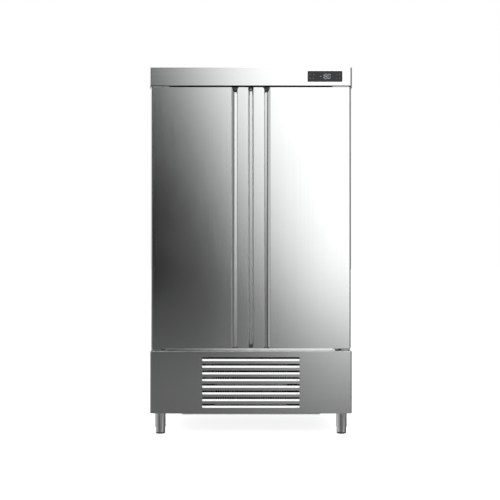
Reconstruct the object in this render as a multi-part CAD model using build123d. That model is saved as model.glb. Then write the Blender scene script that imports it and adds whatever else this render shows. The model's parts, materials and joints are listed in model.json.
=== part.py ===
from build123d import *
import math
import os

# Upright two-door freezer cabinet, in millimetres.
# Origin on the floor under the middle of the cabinet, +Z up, +X to the right, front facing -Y.

# Overall size
overall_width = 1155
overall_depth = 726
overall_height = 2100

# Heights of the front, from the floor up
leg_height = 125
base_height = 355
ledge_gap = 17
fascia_gap = 10
fascia_height = 104

# Sheet metal and fits
sheet = 1.0
clearance = 0.3
running_fit = 0.05
panel_bend = 10
casing_bend = 3
edge_bend = 2
rim_round = 0.9

# Insulated walls, from the outer face to the lined face
side_wall = 62
rear_wall = 72
floor_wall = 61
ceiling_wall = 76
header_drop = 74
header_depth = 58
liner_coving = 15

# Mullion between the two doors
mullion_width = 100
mullion_cover_width = 16
mullion_cap_width = 21
mullion_setback = 11
mullion_cap_height = 21
mullion_cap_proud = 1
mullion_cap_rise = 2.5
mullion_cap_foot = 1.5
sensor_size = 9
sensor_depth = 3
sensor_proud = 0.5

# Doors
door_inset = 6
door_gap = 27
door_thickness = 62
door_hinge_bend = 10
door_free_bend = 2.5
door_back_bend = 2
door_back_return = 15
end_cap = 2.5

# Handle pressed into each door: a grip strip with a finger channel beside it
grip_width = 65
grip_thickness = 8
grip_nose = 2.5
channel_mouth = 31.5
channel_bevel_width = 13
channel_bevel_depth = 9
channel_depth = 30
channel_undercut = 27
channel_floor_fall = 0.8
channel_lip = 3
channel_floor_corner = 3
channel_corner = 7
channel_seam = 14
plug_top_length = 18
plug_shoulder_length = 7
plug_bottom_length = 5
plug_recess = 2
grip_corner_width = 13
grip_corner_top = 28
grip_corner_bottom = 12

# Inner door panel and gasket
plateau_height = 18
plateau_gap = 9
plateau_corner = 14
plateau_taper = 10
plateau_edge = 5
gasket_depth = 10
gasket_inset = 17
gasket_width = 16
gasket_base = 2.5
gasket_waist = 3.7
gasket_waist_inset = 2.5
gasket_corner = 6

# Hinges
hinge_edge_inset = 15
hinge_setback = 22
hinge_pin_radius = 5
hinge_pin_length = 28
hinge_barrel_radius = 10
hinge_barrel_length = 30
hinge_flange_radius = 14
top_plate_thickness = 5
top_plate_length = 120
top_plate_overhang = 2
top_plate_corner = 20
top_flange_height = 36
bottom_plate_thickness = 3
bottom_plate_length = 82
bottom_plate_margin = 6
bottom_flange_height = 27
hinge_flange_thickness = 4
hinge_front_margin = 6
cam_length = 49
cam_depth = 36
cam_edge_margin = 16
cartridge_plate_thickness = 3
cartridge_plate_length = 100
cartridge_plate_margin = 7
cartridge_corner = 6

# Fascia and display
fascia_return = 20
display_width = 199
display_height = 62
display_corner = 5
display_proud = 1
display_border = 6
display_right_margin = 55.5
display_centre_above_fascia = 52
controller_depth = 58
controller_wall = 2
display_spigot = 3

# Base panel and louvres
base_return = 20
louvre_count = 8
louvre_length = 557
louvre_slot = 22
louvre_pitch = 38.1
louvre_top_margin = 33
louvre_reach = 5
louvre_slope = 65
louvre_corner = 7
rivet_radius = 4
rivet_height = 1.2
rivet_end_margin = 14.5

# Machine compartment floor
chassis_thickness = 2
chassis_lift = 4
chassis_flange = 25
chassis_front_setback = 21
chassis_lip_width = 791
chassis_lip_drop = 12.5

# Legs
leg_side_inset = 54
leg_front_inset = 67
leg_rear_inset = 59
sleeve_radius = 31
sleeve_wall = 2
sleeve_length = 86
sleeve_flange_radius = 42
sleeve_nut_low = 26
sleeve_nut_thickness = 14
foot_radius = 28
foot_wall = 2
foot_tube_length = 68
foot_stem_radius = 8
foot_stem_rise = 4
stem_hole_radius = 11
pad_radius = 27
pad_height = 9
pad_bevel = 2

# Condenser and its fan
condenser_width = 420
condenser_thickness = 60
condenser_height = 280
condenser_setback = 87
condenser_fin_pitch = 14
condenser_tube_rows = 5
shroud_depth = 50
shroud_collar = 25
fan_radius = 127
fan_tip_gap = 7
fan_hub_radius = 35
fan_hub_length = 30
fan_blades = 5
fan_chord = 110
fan_pitch_angle = 26
blade_thickness = 1.6
blade_corner_share = 0.2
blade_root_share = 0.25
motor_radius = 45
motor_length = 70
motor_edge = 9
motor_gap = 10
motor_shaft_radius = 3
motor_bracket_width = 90
motor_bracket_thickness = 3

# Compressor
compressor_x = 250
compressor_rear_margin = 232
compressor_radius = 98
compressor_height = 205
compressor_wall = 4
compressor_dome = 38
compressor_seam = 5
compressor_plate_width = 230
compressor_plate_depth = 160
compressor_plate_thickness = 4
grommet_radius = 11
grommet_height = 12
grommet_inset = 16
stub_length = 15
suction_rise = 143

# Pipes and drain
pipe_bend = 20
discharge_radius = 4
suction_radius = 5
liquid_radius = 3
suction_x = 180
liquid_x = -250
drain_x = 110
discharge_height = 130
liquid_height = 34
drier_radius = 11
drier_length = 90
drain_radius = 8
drain_wall = 1
drain_bend = 24
wall_pipe_margin = 37
drain_fall = 30

# Evaporation tray, electrical box and power inlet
tray_width = 240
tray_depth = 100
tray_height = 50
tray_wall = 1.5
tray_rear_margin = 12
tray_reach = 30
tray_splash_gap = 8
electrical_box_width = 170
electrical_box_depth = 130
electrical_box_height = 190
electrical_box_wall = 2
electrical_box_lid = 3
electrical_box_side_margin = 107
electrical_box_rear_margin = 26
inlet_width = 50
inlet_height = 28
inlet_flange = 5
inlet_depth = 18
inlet_side_margin = 147
inlet_rise = 50
inlet_pin_radius = 2

# Evaporator under the ceiling
evaporator_width = 860
evaporator_depth = 274
evaporator_height = 179
evaporator_rear_gap = 16
coil_width = 720
coil_thickness = 120
coil_height = 120
coil_rear_gap = 26
coil_ceiling_gap = 25
coil_fin_pitch = 24
coil_tube_rows = 4
fin_thickness = 0.8
fin_tube_columns = 2
fin_end_plate = 1.5
tube_radius = 5
cold_fan_radius = 84
cold_fan_setback = 6
cold_fan_spacing = 400
cold_fan_chord = 42
cold_hub_radius = 27
cold_hub_length = 24
cold_motor_radius = 32
cold_motor_length = 45
cold_motor_edge = 6
cold_shaft_reach = 12
cold_bracket_width = 16
cold_bracket_thickness = 2
guard_rings = 5
guard_bar = 3
guard_gap = 14
guard_spokes = 4
guard_spoke_width = 8

# Shelving
shelf_count = 3
shelf_first_rise = 323
shelf_pitch = 324
shelf_depth = 480
shelf_front_gap = 18
shelf_rod_radius = 3
shelf_corner = 12
shelf_cross_radius = 2.5
shelf_wire_radius = 1.5
shelf_wire_sink = 1
shelf_wire_pitch = 24
shelf_side_gap = 2
shelf_cross_rods = 2
upright_width = 30
upright_thickness = 8
upright_lift = 25
upright_top_gap = 15
upright_hole_width = 12
upright_hole_height = 6
upright_hole_pitch = 54
upright_front_setback = 75
upright_rear_setback = 45
centre_upright_width = 40
centre_upright_depth = 25
centre_upright_wall = 2
runner_thickness = 1.5
runner_height = 18
runner_ledge = 20
runner_front_gap = 6

# Rear vents and small fasteners
vent_rows = 8
vent_columns = 3
vent_length = 150
vent_height = 7
vent_corner = 2.3
vent_blade_reach = 8
vent_blade_slope = 45
vent_pitch = 30
vent_column_pitch = 240
vent_low_margin = 60
screw_head_radius = 5
screw_head_height = 1
rear_screw_margin = 12
rear_screw_rows = 5
rear_screw_columns = 3
hinge_screw_radius = 5
hinge_screw_height = 3
hinge_screws = 3

# Places worked out from the sizes above
half_width = overall_width / 2
front = -overall_depth / 2 + display_proud
back = overall_depth / 2 - screw_head_height
base_low = leg_height
ledge = base_low + base_height
door_low = ledge + ledge_gap
fascia_low = overall_height - fascia_height
door_high = fascia_low - fascia_gap
door_back = front + door_thickness
frame_face = door_back + gasket_depth
frame_back = frame_face + sheet
rear_sheet = back - sheet

liner_half = half_width - side_wall
liner_rear = back - rear_wall
opening_low = ledge + floor_wall
ceiling = overall_height - ceiling_wall
opening_high = ceiling - header_drop
header_back = frame_back + header_depth

door_width = half_width - door_inset - door_gap / 2
door_left = -half_width + door_inset
cap_low = door_low + end_cap
cap_high = door_high - end_cap
strip_start = door_width - grip_width
channel_start = strip_start - channel_mouth
bevel_end = channel_start + channel_bevel_width
undercut_end = strip_start + channel_undercut

hinge_x = half_width - door_inset - hinge_edge_inset
hinge_y = front + hinge_setback
hinge_plate_front = front + hinge_front_margin

chassis_low = base_low + chassis_lift
chassis_top = chassis_low + chassis_thickness
fan_height = chassis_top + condenser_height / 2
condenser_front = front + condenser_setback
condenser_back = condenser_front + condenser_thickness
shroud_back = condenser_back + shroud_depth
fan_hub_front = shroud_back - fan_hub_length / 2
compressor_y = back - compressor_rear_margin
compressor_low = chassis_top + grommet_height + compressor_plate_thickness
wall_pipe_y = back - wall_pipe_margin

evaporator_low = ceiling - evaporator_height
evaporator_back = liner_rear - evaporator_rear_gap
evaporator_front = evaporator_back - evaporator_depth
coil_low = ceiling - coil_ceiling_gap - coil_height
coil_back = evaporator_back - coil_rear_gap
cold_fan_height = ceiling - evaporator_height / 2
cold_fan_y = evaporator_front + sheet + cold_fan_setback + cold_hub_length / 2
pipe_entry_height = coil_low + coil_height / 2

leg_places = [
    (side * (half_width - leg_side_inset), y)
    for y in (front + leg_front_inset, back - leg_rear_inset)
    for side in (-1, 1)
]
leg_names = ["front_left", "front_right", "rear_left", "rear_right"]


# Basic shapes

def block(x, y, z):
    """Box between a pair of limits along each axis."""
    centre = [(low + high) / 2 for low, high in (x, y, z)]
    sizes = [high - low for low, high in (x, y, z)]
    return Pos(*centre) * Box(*sizes)


def pillar(x, y, z, radius):
    """Upright cylinder; z is a pair of limits."""
    return Pos(x, y, (z[0] + z[1]) / 2) * Cylinder(radius, z[1] - z[0])


def cylinder_along_y(x, y, z, radius):
    """Cylinder from front to back; y is a pair of limits."""
    return Pos(x, (y[0] + y[1]) / 2, z) * Rot(90, 0, 0) * Cylinder(radius, y[1] - y[0])


def cylinder_along_x(x, y, z, radius):
    """Cylinder from left to right; x is a pair of limits."""
    return Pos((x[0] + x[1]) / 2, y, z) * Rot(0, 90, 0) * Cylinder(radius, x[1] - x[0])


def rounded(points, radii):
    """Face inside a closed outline, each corner with its own radius."""
    face = make_face(Polyline(*points, close=True)).face()
    for point, radius in zip(points, radii):
        if radius > 0:
            corner = face.vertices().sort_by_distance(Vector(*point, 0))[0]
            face = face.fillet_2d(radius, [corner])
    return face


def rectangle(x, y, radius=0):
    """Face between a pair of limits each way, with equal corners."""
    points = [(x[0], y[0]), (x[1], y[0]), (x[1], y[1]), (x[0], y[1])]
    return rounded(points, [radius] * 4)


def along_z(face, z):
    """Solid from a plan outline (X, Y), between two heights."""
    return extrude(Pos(0, 0, z[0]) * face, amount=z[1] - z[0], dir=(0, 0, 1))


def along_y(face, y):
    """Solid from a front outline (X, Z), between two depths."""
    plane = Plane((0, y[1], 0), x_dir=(1, 0, 0), z_dir=(0, -1, 0))
    return extrude(plane * face, amount=y[1] - y[0], dir=(0, -1, 0))


def along_x(face, x):
    """Solid from a side outline (Y, Z), between two widths."""
    plane = Plane((x[0], 0, 0), x_dir=(0, 1, 0), z_dir=(1, 0, 0))
    return extrude(plane * face, amount=x[1] - x[0], dir=(1, 0, 0))


def mirrored(shape):
    """The same shape on the other side of the cabinet."""
    return mirror(shape, about=Plane.YZ)


def both_sides(shape):
    """A shape and its mirror image."""
    return [shape, mirrored(shape)]


def fused(shapes):
    """One shape out of several that touch or overlap."""
    return Part() + shapes


def group(shapes):
    """Several separate solids kept in one node."""
    return Compound([solid for shape in shapes for solid in shape.solids()])


def shared(first, second):
    """What two faces or solids have in common."""
    return first & second


# Cabinet shell

def casing_outline(inset, low):
    """Front view of the cabinet with rounded upper corners, drawn in by an inset."""
    side = half_width - inset
    top = overall_height - inset
    radius = max(casing_bend - inset, 0)
    return rounded([(-side, low), (side, low), (side, top), (-side, top)], [0, 0, radius, radius])


def outer_casing():
    """Both sides and the top, folded from one sheet."""
    outside = casing_outline(0, base_low)
    inside = casing_outline(sheet, base_low)
    return along_y(outside - inside, (frame_face, rear_sheet))


def bent_blade(x, low, reach, slope, face, way):
    """Strip bent inwards and upwards from the lower edge of a slot; way is the inward side."""
    turn = math.radians(slope)
    rise = reach * math.tan(turn)
    lean_y = way * sheet * math.sin(turn)
    lean_z = sheet * math.cos(turn)
    points = [
        (face, low),
        (face + way * reach, low + rise),
        (face + way * reach + lean_y, low + rise - lean_z),
        (face + lean_y, low - lean_z),
    ]
    return along_x(rounded(points, [0] * 4), x)


def vent_places():
    """Limits across and lower edge of each slot behind the machine compartment."""
    places = []
    for row in range(vent_rows):
        for column in range(vent_columns):
            x = (column - (vent_columns - 1) / 2) * vent_column_pitch
            low = base_low + vent_low_margin + row * vent_pitch
            places.append(((x - vent_length / 2, x + vent_length / 2), low))
    return places


def vent_blade(span, low):
    """Blade bent in from the lower edge of a slot, which hides the inside."""
    outline = rectangle(span, (low - sheet, low + vent_height + sheet), vent_corner)
    blade = bent_blade(span, low, vent_blade_reach, vent_blade_slope, back, -1)
    return shared(blade, along_y(outline, (back - 2 * vent_blade_reach, back)))


def inlet_place():
    """Centre of the power inlet on the rear panel."""
    return (-half_width + inlet_side_margin, base_low + inlet_rise)


def rear_panel():
    """Flat sheet across the back, vented behind the machine compartment."""
    panel = along_y(casing_outline(0, base_low), (rear_sheet, back))
    x, z = inlet_place()
    half_cut = inlet_width / 2 - inlet_flange + clearance
    half_rise = inlet_height / 2 - inlet_flange + clearance
    cuts = [rectangle((x - half_cut, x + half_cut), (z - half_rise, z + half_rise))]
    cuts += [rectangle(span, (low, low + vent_height), vent_corner) for span, low in vent_places()]
    panel = panel - [along_y(cut, (rear_sheet - sheet, back + sheet)) for cut in cuts]
    return fused([panel] + [vent_blade(span, low) for span, low in vent_places()])


def front_frame():
    """Flat ring around the opening that the gaskets close on."""
    outside = casing_outline(sheet, ledge)
    opening = rectangle((-liner_half, liner_half), (opening_low, opening_high))
    return along_y(outside - opening, (frame_face, frame_back))


def liner_section(grow):
    """Side view of the lined space, drawn outwards by grow, open at the front."""
    low = opening_low - grow
    rear = liner_rear + grow
    top = ceiling + grow
    header = header_back - grow
    lintel = opening_high + grow
    points = [
        (frame_back, low),
        (rear, low),
        (rear, top),
        (header, top),
        (header, lintel),
        (frame_back, lintel),
    ]
    coving = liner_coving + grow
    return rounded(points, [0, coving, coving, 0, 0, 0])


def inner_liner():
    """Stainless lining with coved rear edges, holed for the pipes and the drain."""
    shell = along_x(liner_section(sheet), (-liner_half - sheet, liner_half + sheet))
    shell = shell - along_x(liner_section(0), (-liner_half, liner_half))
    return shell - pipe_channels(clearance)


def mullion_span(inset):
    """Plan limits of the mullion, drawn in by an inset."""
    half = mullion_width / 2 - inset
    return (-half, half), (frame_face + inset, header_back - inset)


def insulation_foam():
    """Foam between the casing and the lining, and the core of the mullion."""
    skin = sheet + clearance
    low = ledge + skin
    body = along_y(casing_outline(skin, low), (frame_back + clearance, rear_sheet - clearance))
    hollow_half = liner_half + skin
    body = body - along_x(liner_section(skin), (-hollow_half, hollow_half))
    body = body - pipe_channels(clearance)
    x, y = mullion_span(skin)
    core = block(x, y, (opening_low + clearance, opening_high - clearance))
    return group([body, core])


def cabinet_floor():
    """Sheet under the insulated box, which is also the roof of the machine compartment."""
    side = half_width - sheet
    floor = block((-side, side), (frame_back, rear_sheet), (ledge, ledge + sheet))
    return floor - pipe_channels(clearance)


def mullion_post():
    """Boxed upright between the two openings."""
    x, y = mullion_span(0)
    inner_x, inner_y = mullion_span(sheet)
    outside = rectangle(x, y)
    inside = rectangle(inner_x, inner_y)
    return along_z(outside - inside, (opening_low, opening_high))


def mullion_cover():
    """Thin channel that stands in the gap between the doors."""
    half = mullion_cover_width / 2
    face = front + mullion_setback
    points = [(-half, frame_face), (-half, face), (half, face), (half, frame_face)]
    inner = half - sheet
    outside = rounded(points, [0, edge_bend, edge_bend, 0])
    inside = rectangle((-inner, inner), (face + sheet, frame_face))
    low = door_low + mullion_cap_foot + mullion_cap_height
    high = door_high - mullion_cap_height
    return along_z(outside - inside, (low, high))


def sensor_block(grow):
    """Square end of the door sensor, in the upper mullion cap."""
    half = sensor_size / 2 + grow
    middle = door_high - mullion_cap_height / 2
    face = front + mullion_setback - mullion_cap_proud
    square = rectangle((-half, half), (middle - half, middle + half))
    return along_y(square, (face - sensor_proud, face + sensor_depth + grow))


def mullion_end_caps():
    """Moulded blocks that close the cover at its two ends."""
    half = mullion_cap_width / 2
    face = front + mullion_setback - mullion_cap_proud
    points = [(-half, frame_face), (-half, face), (half, face), (half, frame_face)]
    outline = rounded(points, [0, edge_bend, edge_bend, 0])
    foot = door_low + mullion_cap_foot
    lower = along_z(outline, (foot, foot + mullion_cap_height))
    upper = along_z(outline, (door_high - mullion_cap_height, door_high + mullion_cap_rise))
    return group([lower, upper - sensor_block(clearance)])


def door_sensor():
    """Reed sensor that tells the controller when a door opens."""
    return sensor_block(0)


# Fascia and display

def folded_tray(low, high, bottom_return):
    """Panel across the front with rounded upright bends, side returns and a top return."""
    y = (front, frame_face)

    def outline(inset):
        side = half_width - inset
        face = front + inset
        radius = panel_bend - inset
        points = [(-side, y[1]), (-side, face), (side, face), (side, y[1])]
        return rounded(points, [0, radius, radius, 0])

    outside = along_z(outline(0), (low, high))
    inside = along_z(outline(sheet), (low + sheet, high - sheet))
    half = half_width - sheet
    opening = block((-half, half), (front + bottom_return, frame_face), (low, low + sheet))
    tray = outside - inside - opening
    return fillet(tray.edges().filter_by(Axis.X).group_by(Axis.Y)[0], rim_round)


def display_centre():
    """Middle of the display on the fascia."""
    x = half_width - display_right_margin - display_width / 2
    return (x, fascia_low + display_centre_above_fascia)


def display_outline(border):
    """Front view of the display, drawn in by a border."""
    x, z = display_centre()
    half = display_width / 2 - border
    rise = display_height / 2 - border
    return rectangle((x - half, x + half), (z - rise, z + rise), display_corner)


def top_fascia():
    """Control panel above the doors."""
    tray = folded_tray(fascia_low, overall_height, fascia_return)
    return tray - along_y(display_outline(display_border - clearance), (front - sheet, front + 2 * sheet))


def display_panel():
    """Flat touch display with a spigot that passes the fascia."""
    face = along_y(display_outline(0), (front - display_proud, front))
    spigot = along_y(display_outline(display_border), (front, front + sheet + display_spigot))
    return fused([face, spigot])


def controller_housing():
    """Open box behind the fascia that holds the controller."""
    border = display_border - clearance
    y = (front + sheet, front + sheet + controller_depth)
    outside = along_y(display_outline(border - controller_wall), y)
    inside = along_y(display_outline(border), (y[0], y[1] - controller_wall))
    return outside - inside


# Base panel

def louvre_lows():
    """Heights of the lower edges of the slots, from the top one down."""
    first = ledge - louvre_top_margin - louvre_slot
    return [first - row * louvre_pitch for row in range(louvre_count)]


def louvre_outline(low, grow):
    """Front view of one slot; grow lets the blade reach into the sheet below it."""
    half = louvre_length / 2
    return rectangle((-half, half), (low - grow, low + louvre_slot), louvre_corner)


def louvre_blade(low):
    """Blade bent inwards and upwards from the lower edge of a slot."""
    span = (-louvre_length / 2, louvre_length / 2)
    strip = bent_blade(span, low, louvre_reach, louvre_slope, front, 1)
    return shared(strip, along_y(louvre_outline(low, sheet), (front, front + 2 * louvre_reach)))


def front_grille_panel():
    """Base panel with its louvres; its top return is the ledge under the doors."""
    tray = folded_tray(base_low, ledge, base_return)
    lows = louvre_lows()
    tray = tray - [along_y(louvre_outline(low, 0), (front - sheet, front + 2 * sheet)) for low in lows]
    return fused([tray] + [louvre_blade(low) for low in lows])


def louvre_rivets():
    """Rivet heads near both ends of every second blade."""
    heads = []
    middle = louvre_reach / 2
    rise = middle * math.tan(math.radians(louvre_slope))
    for low in louvre_lows()[1::2]:
        for side in (-1, 1):
            x = side * (louvre_length / 2 - rivet_end_margin)
            head = Cylinder(rivet_radius, rivet_height, align=(Align.CENTER, Align.CENTER, Align.MIN))
            head = fillet(head.edges().sort_by(Axis.Z)[-1], rivet_height / 2)
            heads.append(Pos(x, front + middle, low + rise) * Rot(louvre_slope, 0, 0) * head)
    return heads


def rear_screws():
    """Screw heads around the rear panel."""
    heads = []
    x_reach = half_width - rear_screw_margin
    z_low = base_low + rear_screw_margin
    z_high = overall_height - rear_screw_margin
    for row in range(rear_screw_rows):
        z = z_low + (z_high - z_low) * row / (rear_screw_rows - 1)
        for column in range(rear_screw_columns):
            x = -x_reach + 2 * x_reach * column / (rear_screw_columns - 1)
            heads.append(cylinder_along_y(x, (back, back + screw_head_height), z, screw_head_radius))
    return heads


def hinge_screw_heads():
    """Screws through the flanges of the four hinge brackets."""
    heads = []
    face = frame_face - hinge_flange_thickness
    y = (face - hinge_screw_height, face)
    levels = [
        (top_flange_span(), bracket_top() + top_flange_height / 2),
        (bottom_flange_span(), ledge + bottom_plate_thickness + bottom_flange_height / 2),
    ]
    for span, z in levels:
        for place in range(hinge_screws):
            x = span[0] + (span[1] - span[0]) * (place + 0.5) / hinge_screws
            heads += both_sides(cylinder_along_y(x, y, z, hinge_screw_radius))
    return heads


def panel_fasteners():
    """All visible rivets and screws of the cabinet."""
    return group(louvre_rivets() + rear_screws() + hinge_screw_heads())


# Hinges

def bracket_bottom():
    """Height of the underside of the top hinge plate, midway in the gap over the door."""
    return door_high + (fascia_gap - top_plate_thickness) / 2


def bracket_top():
    """Height of the upper side of the top hinge plate."""
    return bracket_bottom() + top_plate_thickness


def top_flange_span():
    """Limits across of the upright flange of the left top bracket."""
    inner = -half_width - top_plate_overhang + top_plate_length
    return (-half_width + panel_bend, inner)


def bottom_flange_span():
    """Limits across of the left bottom bracket."""
    outer = -half_width + bottom_plate_margin
    return (outer, outer + bottom_plate_length)


def top_hinge_brackets():
    """Plates under the fascia that carry the upper pins."""
    outer = -half_width - top_plate_overhang
    inner = outer + top_plate_length
    points = [
        (outer, frame_face),
        (outer, hinge_plate_front),
        (inner, hinge_plate_front),
        (inner, frame_face),
    ]
    outline = rounded(points, [0, top_plate_corner, top_plate_corner / 2, 0])
    plate = along_z(outline, (bracket_bottom(), bracket_top()))
    flange_z = (bracket_bottom(), bracket_top() + top_flange_height)
    flange = block(top_flange_span(), (frame_face - hinge_flange_thickness, frame_face), flange_z)
    pin = pillar(-hinge_x, hinge_y, (door_high - hinge_pin_length, bracket_top()), hinge_pin_radius)
    return group(both_sides(fused([plate, flange, pin])))


def cam_top():
    """Height of the closing cam, just under the plate on the door."""
    return door_low - cartridge_plate_thickness - clearance


def bottom_hinge_brackets():
    """Plates on the ledge with the closing cams and the lower pins."""
    x = bottom_flange_span()
    plate = block(x, (hinge_plate_front, frame_face), (ledge, ledge + bottom_plate_thickness))
    flange_z = (ledge, ledge + bottom_plate_thickness + bottom_flange_height)
    flange = block(x, (frame_face - hinge_flange_thickness, frame_face), flange_z)
    cam_x = (-half_width + cam_edge_margin, -half_width + cam_edge_margin + cam_length)
    cam_y = (hinge_y - cam_depth / 2, hinge_y + cam_depth / 2)
    cam = along_z(rectangle(cam_x, cam_y, cartridge_corner), (ledge, cam_top()))
    pin = pillar(-hinge_x, hinge_y, (ledge, door_low + hinge_pin_length), hinge_pin_radius)
    return group(both_sides(fused([plate, flange, cam, pin])))


# Doors, drawn for the left one: u runs from the hinge edge, v from the front face

def in_door(face):
    """Move a plan outline drawn in u and v to the left door."""
    return Pos(door_left, front) * face


def door_outline():
    """Plan view of the outside of a door, with the finger channel cut in."""
    points = [
        (0, 0),
        (channel_start, 0),
        (bevel_end, channel_bevel_depth),
        (bevel_end, channel_depth - channel_floor_fall),
        (undercut_end, channel_depth),
        (undercut_end, grip_thickness),
        (strip_start, grip_thickness),
        (strip_start, 0),
        (door_width, 0),
        (door_width, door_thickness),
        (0, door_thickness),
    ]
    radii = [
        door_hinge_bend,
        channel_lip,
        channel_lip,
        channel_floor_corner,
        channel_corner,
        grip_nose,
        grip_nose,
        grip_nose,
        door_free_bend,
        door_back_bend,
        door_back_bend,
    ]
    return rounded(points, radii)


def drawn_in(face, amount):
    """The same outline, smaller all round."""
    return offset(face, amount=-amount, kind=Kind.ARC)


def door_ring():
    """Plan view of the folded sheet all round a door."""
    outline = door_outline()
    return outline - drawn_in(outline, sheet)


def skin_zone():
    """Part of the ring that belongs to the front skin."""
    front_part = rectangle((-sheet, bevel_end + sheet), (-sheet, channel_seam))
    hinge_part = rectangle((-sheet, door_back_return), (-sheet, door_thickness + sheet))
    return front_part + hinge_part


def panel_zone():
    """Part of the ring that the inner panel takes the place of."""
    span = (door_back_return, door_width - door_back_return)
    return rectangle(span, (door_thickness - 2 * sheet, door_thickness + sheet))


def door_height(section):
    """Solid of a door outline over the whole height of a door."""
    return along_z(in_door(section), (door_low, door_high))


def door_skin():
    """Front face with the folded hinge edge and the bevel of the finger channel."""
    return door_height(shared(door_ring(), skin_zone()))


def grip_corner(level, height, grow):
    """What is cut off the free corner of the grip; height is negative at the lower end."""
    start = door_left + strip_start
    centre = (start + grip_corner_width, level - height)
    low, high = sorted((level - height, level))
    square = rectangle((start - channel_lip, centre[0]), (low, high))
    arc = Pos(*centre) * Ellipse(grip_corner_width + grow, abs(height) + grow)
    return along_y((square - arc).face(), (front - sheet, front + grip_thickness + sheet))


def handle_profile():
    """Folded profile with the finger channel, the grip strip and the free edge."""
    section = door_ring() - skin_zone() - panel_zone()
    profile = door_height(section)
    profile = profile - grip_corner(door_high, grip_corner_top, 0)
    return profile - grip_corner(door_low, -grip_corner_bottom, 0)


def from_level(face, level, length):
    """Solid of a plan outline in a door, from a level down; length is negative for upwards."""
    return along_z(in_door(face), tuple(sorted((level, level - length))))


def channel_plug(level, length, shoulder_length):
    """Moulded plug at one end of the finger channel, with a short shoulder over the bevel."""
    start = bevel_end + clearance
    mouth = rectangle((start, strip_start - clearance), (plug_recess, channel_depth - channel_corner))
    behind_v = (grip_thickness + clearance, channel_depth - channel_floor_fall - clearance)
    behind = rectangle((start, undercut_end - clearance), behind_v, channel_corner)
    bevel_share = (plug_recess + 2 * clearance) / channel_bevel_depth
    points = [
        (channel_start + channel_bevel_width * bevel_share, plug_recess),
        (start, plug_recess),
        (start, channel_bevel_depth - clearance),
    ]
    shoulder = rounded(points, [0] * 3)
    return fused([
        from_level(mouth, level, length),
        from_level(behind, level, length),
        from_level(shoulder, level, shoulder_length),
    ])


def corner_filler(level, height):
    """Part of the cap that fills the cut corner of the grip."""
    corner = grip_corner(level, height, clearance)
    low, high = sorted((level - height, level))
    start = door_left + strip_start - clearance - plug_recess
    y = (front + plug_recess / 2, front + grip_thickness - plug_recess / 2)
    return shared(corner, block((start, start + grip_corner_width + channel_lip), y, (low, high)))


def cap_plate(level, height):
    """End plate inside the folded sheet, holed for the hinge barrel and cut as the grip is."""
    thickness = math.copysign(end_cap, height)
    plate = from_level(drawn_in(door_outline(), sheet + clearance), level, thickness)
    z = tuple(sorted((level, level - thickness)))
    plate = plate - pillar(-hinge_x, hinge_y, z, hinge_barrel_radius + clearance)
    return plate - grip_corner(level, height, 0)


def door_end_caps():
    """Moulded caps in the top and bottom of a door, with the plugs of the finger channel."""
    upper_plug = channel_plug(door_high, plug_top_length, plug_shoulder_length)
    lower_plug = channel_plug(door_low, -plug_bottom_length, -plug_bottom_length)
    return group([
        cap_plate(door_high, grip_corner_top),
        fused([upper_plug, corner_filler(door_high, grip_corner_top)]),
        cap_plate(door_low, -grip_corner_bottom),
        fused([lower_plug, corner_filler(door_low, -grip_corner_bottom)]),
    ])


def plateau(inset):
    """Raised field of the inner panel, which enters the opening, drawn in by an inset."""
    inner_half = mullion_width / 2 + plateau_gap + inset
    outer_half = liner_half - plateau_gap - inset
    z = (opening_low + plateau_gap + inset, opening_high - plateau_gap - inset)
    field = rectangle((-outer_half, -inner_half), z, plateau_corner - inset)
    start = door_back - inset
    plane = Plane((0, start, 0), x_dir=(1, 0, 0), z_dir=(0, -1, 0))
    rise = extrude(plane * field, amount=plateau_height, taper=plateau_taper, dir=(0, 1, 0))
    return fillet(rise.faces().sort_by(Axis.Y)[-1].edges(), plateau_edge - inset)


def door_inner_panel():
    """Pressed sheet on the inside of a door."""
    u = (door_back_return, door_width - door_back_return)
    x = (door_left + u[0], door_left + u[1])
    flange = block(x, (door_back - sheet, door_back), (door_low, door_high))
    return fused([flange, plateau(0)]) - plateau(sheet)


def door_foam():
    """Foam inside a door, clear of the grip strip and the hinge barrels."""
    skin = sheet + clearance
    body_face = drawn_in(door_outline(), skin)
    nose = rectangle((strip_start - grip_nose, undercut_end + skin + clearance), (-sheet, channel_depth))
    z = (cap_low + clearance, cap_high - clearance)
    body = along_z(in_door(body_face - nose), z)
    pocket = hinge_barrel_radius + clearance
    reach = hinge_barrel_length + clearance
    body = body - pillar(-hinge_x, hinge_y, (door_high - reach, door_high), pocket)
    body = body - pillar(-hinge_x, hinge_y, (door_low, door_low + reach), pocket)
    return fused([body, plateau(skin)])


def gasket_ring(inset, y):
    """Rectangular ring behind a door, drawn in by an inset on both sides of its width."""
    def frame(margin, radius):
        x = (door_left + margin, door_left + door_width - margin)
        return rectangle(x, (door_low + margin, door_high - margin), radius)

    outside = frame(gasket_inset + inset, gasket_corner)
    inside = frame(gasket_inset + gasket_width - inset, gasket_corner)
    return along_y(outside - inside, y)


def door_gasket():
    """Magnetic gasket: a base, a bellows and a sealing face."""
    waist = (door_back + gasket_base, door_back + gasket_base + gasket_waist)
    base = gasket_ring(0, (door_back, waist[0]))
    bellows = gasket_ring(gasket_waist_inset, waist)
    face = gasket_ring(0, (waist[1], frame_face - clearance))
    return fused([base, bellows, face])


def hinge_bore(z):
    """Bore that the pin turns in."""
    return pillar(-hinge_x, hinge_y, z, hinge_pin_radius + running_fit)


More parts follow.
